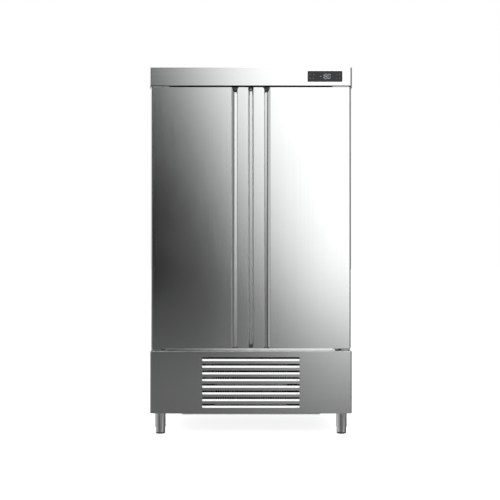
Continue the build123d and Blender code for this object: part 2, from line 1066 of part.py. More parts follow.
def door_hinge_fittings():
    """Upper bush and lower closing cartridge of a door."""
    barrel_top = (door_high - hinge_barrel_length, bracket_bottom() - clearance)
    bush = pillar(-hinge_x, hinge_y, barrel_top, hinge_barrel_radius)
    rim = pillar(-hinge_x, hinge_y, (door_high, barrel_top[1]), hinge_flange_radius)
    upper = fused([bush, rim]) - hinge_bore(barrel_top)
    plate_z = (door_low - cartridge_plate_thickness, door_low)
    plate_start = door_left + cartridge_plate_margin
    plate_x = (plate_start, plate_start + cartridge_plate_length)
    plate_y = (hinge_plate_front, door_back - cartridge_plate_margin)
    plate = along_z(rectangle(plate_x, plate_y, cartridge_corner), plate_z)
    barrel_low = (plate_z[0], door_low + hinge_barrel_length)
    barrel = pillar(-hinge_x, hinge_y, barrel_low, hinge_barrel_radius)
    lower = fused([plate, barrel]) - hinge_bore(barrel_low)
    return group([upper, lower])


# Legs

def leg_sleeves():
    """Fixed sleeves with a flange above and a threaded web inside."""
    sleeves = []
    low = base_low - sleeve_length
    bore_radius = sleeve_radius - sleeve_wall
    web_z = (base_low - sleeve_nut_low, base_low - sleeve_nut_low + sleeve_nut_thickness)
    for x, y in leg_places:
        tube = pillar(x, y, (low, base_low), sleeve_radius) - pillar(x, y, (low, base_low), bore_radius)
        web = pillar(x, y, web_z, bore_radius) - pillar(x, y, web_z, foot_stem_radius + running_fit)
        flange_z = (base_low, chassis_low)
        flange = pillar(x, y, flange_z, sleeve_flange_radius) - pillar(x, y, flange_z, stem_hole_radius)
        sleeves.append(fused([tube, web, flange]))
    return group(sleeves)


def foot(x, y):
    """Tube that slides in the sleeve, with its threaded stem."""
    z = (pad_height, pad_height + foot_tube_length)
    tube = pillar(x, y, z, foot_radius)
    tube = tube - pillar(x, y, (z[0] + foot_wall, z[1]), foot_radius - foot_wall)
    stem = pillar(x, y, (pad_height, chassis_top + foot_stem_rise), foot_stem_radius)
    return fused([tube, stem])


def foot_pad(x, y):
    """Rubber pad under a foot."""
    pad = pillar(x, y, (0, pad_height), pad_radius)
    return chamfer(pad.edges().sort_by(Axis.Z)[0], pad_bevel)


# Machine compartment

def machine_base():
    """Pan that carries the condensing unit and joins the legs."""
    side = half_width - sheet
    y = (front + chassis_front_setback, rear_sheet)
    floor = block((-side, side), y, (chassis_low, chassis_top))
    flange_z = (chassis_low, chassis_low + chassis_flange)
    flange = block((-side, -side + chassis_thickness), y, flange_z)
    rear = block((-side, side), (y[1] - chassis_thickness, y[1]), flange_z)
    lip_half = chassis_lip_width / 2
    lip_y = (y[0], y[0] + chassis_thickness)
    lip = block((-lip_half, lip_half), lip_y, (chassis_low - chassis_lip_drop, chassis_low))
    pan = fused([floor, rear, lip] + both_sides(flange))
    return pan - [pillar(x, y, (chassis_low, chassis_top), stem_hole_radius) for x, y in leg_places]


def finned_block(x, y, z, pitch, rows, hanger_top):
    """Heat exchanger: fins across, tubes through them and an end plate at each side."""
    count = int((x[1] - x[0]) // pitch)
    step = (x[1] - x[0] - fin_end_plate) / count
    fins = [
        block((x[0] + step * place, x[0] + step * place + fin_thickness), y, z)
        for place in range(1, count)
    ]
    ends = [
        block((x[0], x[0] + fin_end_plate), y, (z[0], hanger_top)),
        block((x[1] - fin_end_plate, x[1]), y, (z[0], hanger_top)),
    ]
    tubes = []
    for row in range(rows):
        tube_z = z[0] + (z[1] - z[0]) * (row + 0.5) / rows
        for column in range(fin_tube_columns):
            tube_y = y[0] + (y[1] - y[0]) * (column + 0.5) / fin_tube_columns
            tubes.append(cylinder_along_x(x, tube_y, tube_z, tube_radius))
    return fused(fins + ends + tubes)


def condenser_coil():
    """Condenser behind the louvres, standing on the pan."""
    half = condenser_width / 2
    z = (chassis_top, chassis_top + condenser_height)
    y = (condenser_front, condenser_back)
    return finned_block((-half, half), y, z, condenser_fin_pitch, condenser_tube_rows, z[1])


def condenser_fan_shroud():
    """Box behind the condenser that leads the air through the fan."""
    half = condenser_width / 2
    z = (chassis_top, chassis_top + condenser_height)
    y = (condenser_back, shroud_back)
    box = block((-half, half), y, z)
    hollow = block((-half + sheet, half - sheet), (y[0], y[1] - sheet), (z[0] + sheet, z[1] - sheet))
    collar_y = (y[1] - sheet, y[1] + shroud_collar)
    bore_radius = fan_radius + fan_tip_gap
    collar = cylinder_along_y(0, collar_y, fan_height, bore_radius + sheet)
    shroud = fused([box - hollow, collar])
    return shroud - cylinder_along_y(0, collar_y, fan_height, bore_radius)


def fan_blade(radius, hub_radius, hub_length, chord, shaft_radius):
    """Moulded fan about the Z axis: a hub with pitched blades."""
    hub = Cylinder(hub_radius, hub_length)
    length = radius - hub_radius + chord * blade_root_share
    outline = RectangleRounded(length, chord, chord * blade_corner_share)
    blade = extrude(outline, amount=blade_thickness / 2, both=True)
    blade = Pos(radius - length / 2, 0, 0) * Rot(fan_pitch_angle, 0, 0) * blade
    blade = shared(blade, Cylinder(radius, chord) - Cylinder(hub_radius / 2, chord))
    blades = [Rot(0, 0, 360 * turn / fan_blades) * blade for turn in range(fan_blades)]
    return fused([hub] + blades) - Cylinder(shaft_radius + running_fit, chord)


def condenser_fan_blade():
    """Fan of the condenser, in its collar."""
    blade = fan_blade(fan_radius, fan_hub_radius, fan_hub_length, fan_chord, motor_shaft_radius)
    return Pos(0, fan_hub_front + fan_hub_length / 2, fan_height) * Rot(90, 0, 0) * blade


def condenser_fan_motor():
    """Motor behind the fan on a foot that stands on the pan."""
    hub_back = fan_hub_front + fan_hub_length
    y = (hub_back + motor_gap, hub_back + motor_gap + motor_length)
    body = cylinder_along_y(0, y, fan_height, motor_radius)
    body = fillet(body.edges().filter_by(GeomType.CIRCLE), motor_edge)
    shaft = cylinder_along_y(0, (fan_hub_front, y[0] + motor_gap), fan_height, motor_shaft_radius)
    half = motor_bracket_width / 2
    plate_y = (y[1] - 2 * motor_bracket_thickness, y[1] - motor_bracket_thickness)
    plate = block((-half, half), plate_y, (chassis_top, fan_height))
    foot_y = (plate_y[0], plate_y[0] + motor_radius)
    foot_plate = block((-half, half), foot_y, (chassis_top, chassis_top + motor_bracket_thickness))
    return fused([body, shaft, plate, foot_plate])


def compressor_places():
    """Corners of the compressor plate, where the grommets stand."""
    reach_x = compressor_plate_width / 2 - grommet_inset
    reach_y = compressor_plate_depth / 2 - grommet_inset
    return [(compressor_x + a * reach_x, compressor_y + b * reach_y) for a in (-1, 1) for b in (-1, 1)]


def compressor():
    """Welded shell on its foot plate, with the stubs for the pipes."""
    def can(radius, height, dome):
        return fillet(Cylinder(radius, height).edges().filter_by(GeomType.CIRCLE), dome)

    middle = compressor_low + compressor_height / 2
    centre = Pos(compressor_x, compressor_y, middle)
    inner_radius = compressor_radius - compressor_wall
    inner_height = compressor_height - 2 * compressor_wall
    seam = Cylinder(compressor_radius + compressor_seam, compressor_seam)
    hollow = can(inner_radius, inner_height, compressor_dome - compressor_wall)
    plate_x = (compressor_x - compressor_plate_width / 2, compressor_x + compressor_plate_width / 2)
    plate_y = (compressor_y - compressor_plate_depth / 2, compressor_y + compressor_plate_depth / 2)
    plate_outline = rectangle(plate_x, plate_y, grommet_radius)
    plate = along_z(plate_outline, (compressor_low - compressor_plate_thickness, compressor_low))
    discharge_z = chassis_top + discharge_height
    front_y = (compressor_y - compressor_radius - stub_length, compressor_y - inner_radius)
    rear_y = (compressor_y + inner_radius, compressor_y + compressor_radius + stub_length)
    stubs = [
        cylinder_along_y(compressor_x, front_y, discharge_z, 2 * discharge_radius),
        cylinder_along_y(compressor_x, rear_y, suction_height(), 2 * suction_radius),
    ]
    outer_can = can(compressor_radius, compressor_height, compressor_dome)
    shell = fused([centre * outer_can, centre * seam] + stubs)
    return fused([shell - centre * hollow, plate])


def compressor_grommets():
    """Rubber feet of the compressor."""
    z = (chassis_top, chassis_top + grommet_height)
    return group([pillar(x, y, z, grommet_radius) for x, y in compressor_places()])


def suction_height():
    """Height of the suction stub on the compressor."""
    return compressor_low + suction_rise


def tube_through(points, radius, bend):
    """Round bar along straight runs joined by bends."""
    path = FilletPolyline(*points, radius=bend)
    start = Plane(origin=path @ 0, z_dir=path % 0)
    return sweep(start * Circle(radius), path=path)


def suction_route():
    """From the evaporator down the rear wall to the compressor."""
    return [
        (suction_x, coil_back, pipe_entry_height),
        (suction_x, wall_pipe_y, pipe_entry_height),
        (suction_x, wall_pipe_y, suction_height()),
        (compressor_x, wall_pipe_y, suction_height()),
        (compressor_x, compressor_y + compressor_radius + stub_length, suction_height()),
    ]


def liquid_route():
    """From the drier back and up the rear wall to the evaporator."""
    z = chassis_top + liquid_height
    return [
        (liquid_x, shroud_back + drier_length, z),
        (liquid_x, wall_pipe_y, z),
        (liquid_x, wall_pipe_y, pipe_entry_height),
        (liquid_x, coil_back, pipe_entry_height),
    ]


def drain_route():
    """From the drip tray through the rear wall down to the evaporation tray."""
    entry = coil_back + drain_radius
    return [
        (drain_x, entry, evaporator_low),
        (drain_x, entry, evaporator_low - drain_fall),
        (drain_x, wall_pipe_y, evaporator_low - drain_fall),
        (drain_x, wall_pipe_y, chassis_top + tray_height - tray_splash_gap),
    ]


def pipe_channels(gap):
    """Ways through the walls for the two pipes and the drain."""
    return [
        tube_through(suction_route(), suction_radius + gap, pipe_bend),
        tube_through(liquid_route(), liquid_radius + gap, pipe_bend),
        tube_through(drain_route(), drain_radius + gap, drain_bend),
    ]


def refrigerant_pipes():
    """Copper pipes between the compressor, the condenser and the evaporator, with the drier."""
    coil_side = condenser_width / 2
    middle_y = (condenser_front + condenser_back) / 2
    discharge_z = chassis_top + discharge_height
    discharge = tube_through([
        (compressor_x, compressor_y - compressor_radius - stub_length, discharge_z),
        (compressor_x, middle_y, discharge_z),
        (coil_side, middle_y, discharge_z),
    ], discharge_radius, pipe_bend / 2)
    z = chassis_top + liquid_height
    outlet = tube_through([
        (-coil_side, middle_y, z),
        (liquid_x, middle_y, z),
        (liquid_x, shroud_back, z),
    ], liquid_radius, pipe_bend / 2)
    drier = cylinder_along_y(liquid_x, (shroud_back, shroud_back + drier_length), z, drier_radius)
    drier = fillet(drier.edges().filter_by(GeomType.CIRCLE), drier_radius / 2)
    liquid = tube_through(liquid_route(), liquid_radius, pipe_bend)
    suction = tube_through(suction_route(), suction_radius, pipe_bend)
    return group([discharge, suction, fused([outlet, drier, liquid])])


def drain_tube():
    """Tube that carries the defrost water down to the evaporation tray."""
    outside = tube_through(drain_route(), drain_radius, drain_bend)
    return outside - tube_through(drain_route(), drain_radius - drain_wall, drain_bend)


def evaporation_tray():
    """Open tray under the drain, standing on the pan."""
    x = (drain_x + tray_reach - tray_width, drain_x + tray_reach)
    y = (rear_sheet - tray_rear_margin - tray_depth, rear_sheet - tray_rear_margin)
    z = (chassis_top, chassis_top + tray_height)
    outside = along_z(rectangle(x, y, panel_bend), z)
    inner_x = (x[0] + tray_wall, x[1] - tray_wall)
    inner_y = (y[0] + tray_wall, y[1] - tray_wall)
    hollow = rectangle(inner_x, inner_y, panel_bend - tray_wall)
    return outside - along_z(hollow, (z[0] + tray_wall, z[1]))


def electrical_box():
    """Terminal box with its lid, standing on the pan."""
    x_low = -half_width + electrical_box_side_margin
    x = (x_low, x_low + electrical_box_width)
    y_high = rear_sheet - electrical_box_rear_margin
    y = (y_high - electrical_box_depth, y_high)
    z = (chassis_top, chassis_top + electrical_box_height)
    wall = electrical_box_wall
    outside = along_z(rectangle(x, y, 2 * wall), z)
    hollow = block((x[0] + wall, x[1] - wall), (y[0] + wall, y[1] - wall), (z[0] + wall, z[1]))
    lid = along_z(rectangle(x, y, 2 * wall), (z[1], z[1] + electrical_box_lid))
    return group([outside - hollow, lid])


def power_inlet():
    """Flush socket for the supply, in the rear panel."""
    x, z = inlet_place()

    def rim(border):
        half = inlet_width / 2 - border
        rise = inlet_height / 2 - border
        return rectangle((x - half, x + half), (z - rise, z + rise), inlet_flange / 2)

    outer_face = back + screw_head_height
    flange = along_y(rim(0), (back, outer_face))
    body = along_y(rim(inlet_flange), (back - inlet_depth, back))
    recess = along_y(rim(inlet_flange + sheet), (back - inlet_depth + 2 * sheet, outer_face))
    spread = (inlet_width / 2 - inlet_flange) / 2
    pin_y = (back - inlet_depth + sheet, back - sheet)
    pins = [cylinder_along_y(x + place * spread, pin_y, z, inlet_pin_radius) for place in (-1, 0, 1)]
    return fused([fused([flange, body]) - recess] + pins)


# Evaporator

def guard_slots(x):
    """Ring-shaped slots in front of one evaporator fan, with spokes between them."""
    middle = Pos(x, cold_fan_height)
    spoke = Rectangle(2 * cold_fan_radius + 2 * guard_gap, guard_spoke_width)
    spokes = [middle * Rot(0, 0, 180 * turn / guard_spokes) * spoke for turn in range(guard_spokes)]
    slots = []
    for ring in range(guard_rings):
        outer = cold_fan_radius + guard_bar - ring * (guard_gap + guard_bar)
        slots.append(middle * (Circle(outer) - Circle(outer - guard_gap)))
    pattern = Sketch() + slots
    return along_y(pattern - spokes, (evaporator_front - sheet, evaporator_front + 2 * sheet))


def evaporator_cover():
    """Cover under the ceiling with the fan guards and the drip tray."""
    half = evaporator_width / 2
    z = (evaporator_low, ceiling)
    y = (evaporator_front, evaporator_back)
    outside = block((-half, half), y, z)
    hollow = block((-half + sheet, half - sheet), (y[0] + sheet, y[1]), (z[0] + sheet, z[1]))
    cover = outside - hollow
    for side in (-1, 1):
        cover = cover - guard_slots(side * cold_fan_spacing / 2)
    back_lip = block((-half, half), (y[1] - sheet, y[1]), (z[0], z[0] + liner_coving))
    cover = fused([cover, back_lip])
    drain_y = coil_back + drain_radius
    return cover - pillar(drain_x, drain_y, (z[0] - sheet, z[0] + 2 * sheet), drain_radius - drain_wall)


def evaporator_coil():
    """Evaporator hung from the ceiling by its end plates."""
    half = coil_width / 2
    y = (coil_back - coil_thickness, coil_back)
    z = (coil_low, coil_low + coil_height)
    return finned_block((-half, half), y, z, coil_fin_pitch, coil_tube_rows, ceiling)


def cold_fan_places():
    """Centres across of the two evaporator fans."""
    return [-cold_fan_spacing / 2, cold_fan_spacing / 2]


def evaporator_fan_motors():
    """Motors of the evaporator fans on brackets behind the guards."""
    motors = []
    for x in cold_fan_places():
        hub_back = cold_fan_y + cold_hub_length / 2
        y = (hub_back + cold_shaft_reach, hub_back + cold_shaft_reach + cold_motor_length)
        body = cylinder_along_y(x, y, cold_fan_height, cold_motor_radius)
        body = fillet(body.edges().filter_by(GeomType.CIRCLE), cold_motor_edge)
        shaft_y = (cold_fan_y - cold_hub_length / 2, y[0] + cold_shaft_reach)
        shaft = cylinder_along_y(x, shaft_y, cold_fan_height, motor_shaft_radius)
        arm = cold_fan_radius + cold_bracket_width
        bar_z = (cold_fan_height - cold_bracket_width / 2, cold_fan_height + cold_bracket_width / 2)
        bar_y = (y[0], y[0] + 2 * cold_bracket_thickness)
        bar = block((x - arm, x + arm), bar_y, bar_z)
        post_y = (evaporator_front + sheet, bar_y[1])
        posts = []
        for end in (x - arm, x + arm):
            post_x = (end - cold_bracket_thickness, end + cold_bracket_thickness)
            posts.append(block(post_x, post_y, bar_z))
        motors.append(fused([body, shaft, bar] + posts))
    return group(motors)


def evaporator_fan_blade(x):
    """Fan of the evaporator on its motor shaft."""
    hub = (cold_hub_radius, cold_hub_length)
    blade = fan_blade(cold_fan_radius, *hub, cold_fan_chord, motor_shaft_radius)
    return Pos(x, cold_fan_y, cold_fan_height) * Rot(90, 0, 0) * blade


# Shelving

def shelf_levels():
    """Heights of the ledges that the shelves lie on."""
    return [opening_low + shelf_first_rise + level * shelf_pitch for level in range(shelf_count)]


def upright_span():
    """Heights between which the rack uprights run."""
    return (opening_low + upright_lift, evaporator_low - drain_fall - upright_top_gap - drain_radius)


def side_rack_face():
    """Distance from the middle to the inner face of the side uprights."""
    return liner_half - upright_thickness


def side_upright(y):
    """Perforated strip on the left side wall; y is its middle."""
    low, high = upright_span()
    x = (-liner_half, -side_rack_face())
    strip = block(x, (y - upright_width / 2, y + upright_width / 2), (low, high))
    holes = []
    count = int((high - low) // upright_hole_pitch)
    for place in range(count):
        z = low + upright_hole_pitch * (place + 0.5)
        half = upright_hole_width / 2
        holes.append(block(x, (y - half, y + half), (z, z + upright_hole_height)))
    return strip - holes


def centre_upright(y, open_side):
    """Channel in the middle of the cabinet; open_side is 1 where it opens to the rear."""
    half = centre_upright_width / 2
    outside = rectangle((-half, half), y)
    wall = centre_upright_wall
    inner_y = (y[0] + wall, y[1]) if open_side > 0 else (y[0], y[1] - wall)
    inside = rectangle((-half + wall, half - wall), inner_y)
    return along_z(outside - inside, upright_span())


def rack_uprights():
    """All uprights that carry the runners."""
    strips = []
    for y in (header_back + upright_front_setback, liner_rear - upright_rear_setback):
        strips += both_sides(side_upright(y))
    front_y = (header_back, header_back + centre_upright_depth)
    rear_y = (liner_rear - centre_upright_depth, liner_rear)
    strips.append(centre_upright(front_y, -1))
    strips.append(centre_upright(rear_y, 1))
    return group(strips)


def runner(face, level, direction):
    """Angle that a shelf slides on; direction is 1 where its ledge points to the right."""
    y = (header_back + runner_front_gap, liner_rear - liner_coving)
    inner = face + direction * runner_thickness
    tip = face + direction * runner_ledge
    web_x = tuple(sorted((face, inner)))
    ledge_x = tuple(sorted((face, tip)))
    web = block(web_x, y, (level - runner_height, level))
    ledge_plate = block(ledge_x, y, (level - runner_thickness, level))
    return fused([web, ledge_plate])


def shelf_runners():
    """Pairs of angles for every shelf in both columns."""
    angles = []
    for level in shelf_levels():
        angles += both_sides(runner(-side_rack_face(), level, 1))
        angles += both_sides(runner(-centre_upright_width / 2, level, -1))
    return group(angles)


def shelf_ring(x, y):
    """Rod bent round the edge of a shelf; x and y are the limits of its centre line."""
    path = rectangle(x, y, shelf_corner).outer_wire()
    start = Plane(origin=path @ 0, z_dir=path % 0)
    return sweep(start * Circle(shelf_rod_radius), path=path)


def wire_shelf():
    """Wire shelf of the left column, about the height of its ring."""
    left = -side_rack_face() + shelf_side_gap + shelf_rod_radius
    right = -centre_upright_width / 2 - shelf_side_gap - shelf_rod_radius
    near = header_back + shelf_front_gap + shelf_rod_radius
    far = near + shelf_depth - 2 * shelf_rod_radius
    pieces = [shelf_ring((left, right), (near, far))]
    for place in range(shelf_cross_rods):
        y = near + (far - near) * (place + 1) / (shelf_cross_rods + 1)
        pieces.append(cylinder_along_x((left, right), y, 0, shelf_cross_radius))
    count = int((right - left) // shelf_wire_pitch) - 1
    first = (left + right - (count - 1) * shelf_wire_pitch) / 2
    wire_z = shelf_cross_radius + shelf_wire_radius - shelf_wire_sink
    for place in range(count):
        x = first + place * shelf_wire_pitch
        pieces.append(cylinder_along_y(x, (near, far), wire_z, shelf_wire_radius))
    return fused(pieces)


def wire_shelves():
    """Three shelves in each column, lying on the runners."""
    shelf = wire_shelf()
    shelves = []
    for level in shelf_levels():
        shelves += both_sides(Pos(0, 0, level + shelf_rod_radius + running_fit) * shelf)
    return group(shelves)


# Every sub-part by its node name

def save(name, shape):
    """Write one sub-part to its own file."""
    export_step(shape, "parts/" + name + ".step")


os.makedirs("parts", exist_ok=True)

for make_piece in (
    outer_casing, rear_panel, front_frame, inner_liner, insulation_foam, cabinet_floor,
    mullion_post, mullion_cover, mullion_end_caps, door_sensor,
    top_fascia, display_panel, controller_housing, front_grille_panel, panel_fasteners,
    top_hinge_brackets, bottom_hinge_brackets, leg_sleeves, machine_base,
    condenser_coil, condenser_fan_shroud, condenser_fan_blade, condenser_fan_motor,
    compressor, compressor_grommets, refrigerant_pipes, drain_tube,
    evaporation_tray, electrical_box, power_inlet,
    evaporator_cover, evaporator_coil, evaporator_fan_motors,
    rack_uprights, shelf_runners, wire_shelves,
):
    save(make_piece.__name__, make_piece())

for make_piece in (
    door_skin, handle_profile, door_end_caps, door_inner_panel,
    door_foam, door_gasket, door_hinge_fittings,
):
    left_piece = make_piece()
    save("left_" + make_piece.__name__, left_piece)
    save("right_" + make_piece.__name__, mirrored(left_piece))

for name, (x, y) in zip(leg_names, leg_places):
    save("foot_" + name, foot(x, y))
    save("foot_pad_" + name, foot_pad(x, y))

for name, x in zip(("left", "right"), cold_fan_places()):
    save("evaporator_fan_blade_" + name, evaporator_fan_blade(x))
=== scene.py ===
import json
import math

import bmesh
import bpy
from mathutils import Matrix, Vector


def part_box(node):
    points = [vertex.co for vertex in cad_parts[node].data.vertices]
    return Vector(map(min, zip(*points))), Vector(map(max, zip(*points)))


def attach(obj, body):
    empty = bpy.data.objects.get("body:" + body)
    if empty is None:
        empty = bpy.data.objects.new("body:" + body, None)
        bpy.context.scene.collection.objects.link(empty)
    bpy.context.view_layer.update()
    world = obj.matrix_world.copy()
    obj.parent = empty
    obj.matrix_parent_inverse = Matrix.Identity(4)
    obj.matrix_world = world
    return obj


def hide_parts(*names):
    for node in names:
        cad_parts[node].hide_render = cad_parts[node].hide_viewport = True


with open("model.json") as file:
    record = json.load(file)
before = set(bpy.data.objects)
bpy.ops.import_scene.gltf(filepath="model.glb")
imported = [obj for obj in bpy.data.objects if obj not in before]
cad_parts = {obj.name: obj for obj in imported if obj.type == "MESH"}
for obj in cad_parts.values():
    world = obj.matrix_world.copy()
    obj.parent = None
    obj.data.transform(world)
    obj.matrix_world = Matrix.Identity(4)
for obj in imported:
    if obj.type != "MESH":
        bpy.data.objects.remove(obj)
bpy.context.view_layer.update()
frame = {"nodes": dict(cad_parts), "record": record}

# Upright two-door freezer in brushed stainless steel, in metres.
# Origin on the floor under the middle of the cabinet, +Z up, front facing -Y.

# Photograph
IMAGE_SIZE = 500
METRES_PER_PIXEL = 0.005703
IMAGE_TOP_ROW = 67.3
IMAGE_MIDDLE_COLUMN = 250.9
CAMERA_DISTANCE = 4.7
SENSOR = 36

# Studio light that the steel mirrors. A list of light holds pairs of a sideways part of the direction,
# from the left at -1 to the right at 1, and a strength. A rise holds the two upward parts of the
# direction between which one light gives way to another.
LIGHT_WALL = [
    (-1.2, 1.3), (-1.06, 1.2), (-1.0, 0.95), (-0.96, 0.88), (-0.917, 0.66), (-0.89, 0.55), (-0.6, 0.55),
    (-0.45, 0.42), (-0.35, 0.12), (-0.25, 0.0), (-0.1, 0.0), (-0.06, 0.04), (-0.03, 0.15), (0.0, 0.45),
    (0.03, 0.97), (0.06, 1.4), (0.1, 1.8), (0.2, 2.0), (0.27, 1.7), (0.35, 0.3), (0.42, 0.08),
    (0.86, 0.08), (0.92, 0.28), (0.96, 0.42), (1.0, 0.5), (1.2, 0.55),
]
LOW_WALL = [
    (-1.0, 0.5), (-0.9, 0.42), (-0.6, 0.3), (-0.35, 0.14), (-0.25, 0.16), (-0.13, 0.205), (-0.08, 0.205),
    (-0.04, 0.22), (0.0, 0.27), (0.04, 0.32), (0.08, 0.37), (0.13, 0.46), (0.2, 0.42), (0.3, 0.2),
    (0.85, 0.2), (0.95, 0.4), (1.0, 0.4),
]
SKIRTING = [
    (-1.0, 0.6), (-0.9, 0.55), (-0.7, 0.34), (-0.5, 0.18), (-0.3, 0.13), (0.0, 0.15), (0.2, 0.17),
    (0.45, 0.26), (0.62, 0.6), (0.77, 0.95), (0.88, 0.5), (1.0, 0.1),
]
GROUND = [(-1.0, 0.45), (-0.5, 0.34), (0.0, 0.36), (0.4, 0.5), (0.7, 0.6), (1.0, 0.4)]
LOWER_LIGHTS = [((0.0, -0.195), LOW_WALL), ((-0.19, -0.215), SKIRTING), ((-0.29, -0.36), GROUND)]
HIGH_WALL = 1.65
HIGH_WALL_RISE = (0.28, 0.6)
OVERHEAD = 2.2
OVERHEAD_RISE = (0.75, 0.92)

# Sideways lean of the light wall's stripes for each unit up, and where it changes sides
WALL_LEAN = 0.39
LEAN_TURN = (-0.85, -0.45)

# Room behind: strength by the upward part of the direction, times a factor by the sideways part.
# It gives way to the lights in front between two backward parts of the direction.
ROOM_HEIGHTS = [(-0.7, 0.22), (-0.15, 0.4), (0.0, 0.5), (0.25, 0.8), (0.7, 1.2)]
ROOM_SIDES = [
    (-1.0, 2.2), (-0.8, 1.8), (-0.5, 1.15), (0.0, 1.0), (0.4, 0.8), (0.75, 0.4), (0.95, 0.25), (1.0, 0.25),
]
ROOM_TO_FRONT = (0.35, -0.1)

# Floor
FLOOR_REACH = 40
FLOOR_TONE = 0.8
FLOOR_GLOW = 0.75

# Places read from the frame
cabinet_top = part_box("top_fascia")[1].z
front_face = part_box("top_fascia")[0].y


# Shader helpers

class Shader:
    """A node tree with short calls for adding and joining nodes."""

    def __init__(self, owner):
        owner.use_nodes = True
        self.tree = owner.node_tree
        self.tree.nodes.clear()

    def add(self, kind, inputs=(), **settings):
        """New node with its settings, and its inputs from numbers or other nodes."""
        node = self.tree.nodes.new(kind)
        for name, value in settings.items():
            setattr(node, name, value)
        for name, value in dict(inputs).items():
            self.put(node, name, value)
        return node

    def put(self, node, name, value):
        """Set one input of a node, or link it where the value is a socket."""
        socket = node.inputs[name]
        if isinstance(value, bpy.types.NodeSocket):
            self.tree.links.new(value, socket)
        else:
            socket.default_value = value

    def math(self, operation, a, b):
        """Result of one operation on two numbers."""
        return self.add("ShaderNodeMath", {0: a, 1: b}, operation=operation).outputs[0]

    def scaled(self, colour, factor):
        """Colour times a number, either of them from a socket."""
        node = self.add("ShaderNodeVectorMath", {0: colour}, operation="SCALE")
        self.put(node, "Scale", factor)
        return node.outputs[0]

    def smooth(self, value, low, high, start=0.0, end=1.0):
        """Map a value smoothly from low..high to start..end."""
        inputs = {"Value": value, "From Min": low, "From Max": high, "To Min": start, "To Max": end}
        node = self.add("ShaderNodeMapRange", inputs, interpolation_type="SMOOTHSTEP")
        return node.outputs[0]

    def spread(self, value, stops):
        """Grey ramp from (value, grey) pairs."""
        low, high = stops[0][0], stops[-1][0]
        share = self.math("DIVIDE", self.math("SUBTRACT", value, low), high - low)
        node = self.add("ShaderNodeValToRGB", {"Fac": share})
        elements = node.color_ramp.elements
        while len(elements) < len(stops):
            elements.new(0.5)
        for element, (place, grey) in zip(elements, stops):
            element.position = (place - low) / (high - low)
            element.color = rgba(grey)
        return node.outputs["Color"]

    def mix(self, share, a, b):
        """Blend two colours."""
        node = self.add("ShaderNodeMix", data_type="RGBA")
        self.put(node, 0, share)
        self.put(node, 6, a if isinstance(a, bpy.types.NodeSocket) else rgba(a))
        self.put(node, 7, b if isinstance(b, bpy.types.NodeSocket) else rgba(b))
        return node.outputs[2]


def rgba(colour):
    """Four channels from a grey value or three channels."""
    if isinstance(colour, (int, float)):
        return (colour, colour, colour, 1)
    return (*colour, 1)


# Studio

def studio_world():
    """White backdrop for the camera, and soft light around the object."""
    world = bpy.data.worlds.new("studio")
    bpy.context.scene.world = world
    nodes = Shader(world)
    direction = nodes.add("ShaderNodeTexCoord").outputs["Generated"]
    x, y, z = nodes.add("ShaderNodeSeparateXYZ", {0: direction}).outputs
    # In front, a wall dark to the left of the middle and bright to its right, and what lies below and above
    lean = nodes.smooth(x, *LEAN_TURN, -WALL_LEAN, WALL_LEAN)
    front = nodes.spread(nodes.math("ADD", x, nodes.math("MULTIPLY", z, lean)), LIGHT_WALL)
    for rise, strengths in LOWER_LIGHTS:
        front = nodes.mix(nodes.smooth(z, *rise), front, nodes.spread(x, strengths))
    front = nodes.mix(nodes.smooth(z, *HIGH_WALL_RISE), front, HIGH_WALL)
    # Grey room behind, lighter towards the ceiling and the left
    room = nodes.scaled(nodes.spread(z, ROOM_HEIGHTS), nodes.spread(x, ROOM_SIDES))
    around = nodes.mix(nodes.smooth(y, *ROOM_TO_FRONT), room, front)
    # Large soft light overhead
    surround = nodes.mix(nodes.smooth(z, *OVERHEAD_RISE), around, OVERHEAD)
    light = nodes.add("ShaderNodeBackground", {"Color": surround, "Strength": 1.0})
    backdrop = nodes.add("ShaderNodeBackground", {"Color": rgba(1.0), "Strength": 1.0})
    seen = nodes.add("ShaderNodeLightPath").outputs["Is Camera Ray"]
    shown = nodes.add("ShaderNodeMixShader", {0: seen, 1: light.outputs[0], 2: backdrop.outputs[0]})
    nodes.add("ShaderNodeOutputWorld", {"Surface": shown.outputs[0]})


def studio_camera():
    """Camera level with the middle of the cabinet, as in the photograph."""
    data = bpy.data.cameras.new("camera")
    camera = bpy.data.objects.new("camera", data)
    bpy.context.scene.collection.objects.link(camera)
    data.sensor_width = SENSOR
    data.lens = SENSOR * CAMERA_DISTANCE / (IMAGE_SIZE * METRES_PER_PIXEL)
    half = IMAGE_SIZE / 2
    x = (half - IMAGE_MIDDLE_COLUMN) * METRES_PER_PIXEL
    z = cabinet_top - (half - IMAGE_TOP_ROW) * METRES_PER_PIXEL
    camera.location = (x, front_face - CAMERA_DISTANCE, z)
    camera.rotation_euler = (math.pi / 2, 0, 0)
    bpy.context.scene.camera = camera


def studio_floor():
    """Plain pale floor, left out of the steel's reflections."""
    mesh = bpy.data.meshes.new("floor")
    reach = FLOOR_REACH
    corners = [(-reach, -reach, 0), (reach, -reach, 0), (reach, reach, 0), (-reach, reach, 0)]
    mesh.from_pydata(corners, [], [(0, 1, 2, 3)])
    floor = bpy.data.objects.new("floor", mesh)
    bpy.context.scene.collection.objects.link(floor)
    material = bpy.data.materials.new("pale_floor")
    nodes = Shader(material)
    matte = nodes.add("ShaderNodeBsdfDiffuse", {"Color": rgba(FLOOR_TONE)})
    glow = nodes.add("ShaderNodeEmission", {"Color": rgba(1.0), "Strength": FLOOR_GLOW})
    both = nodes.add("ShaderNodeAddShader", {0: matte.outputs[0], 1: glow.outputs[0]})
    nodes.add("ShaderNodeOutputMaterial", {"Surface": both.outputs[0]})
    mesh.materials.append(material)
    floor.visible_glossy = False
    floor.visible_diffuse = False


# Materials

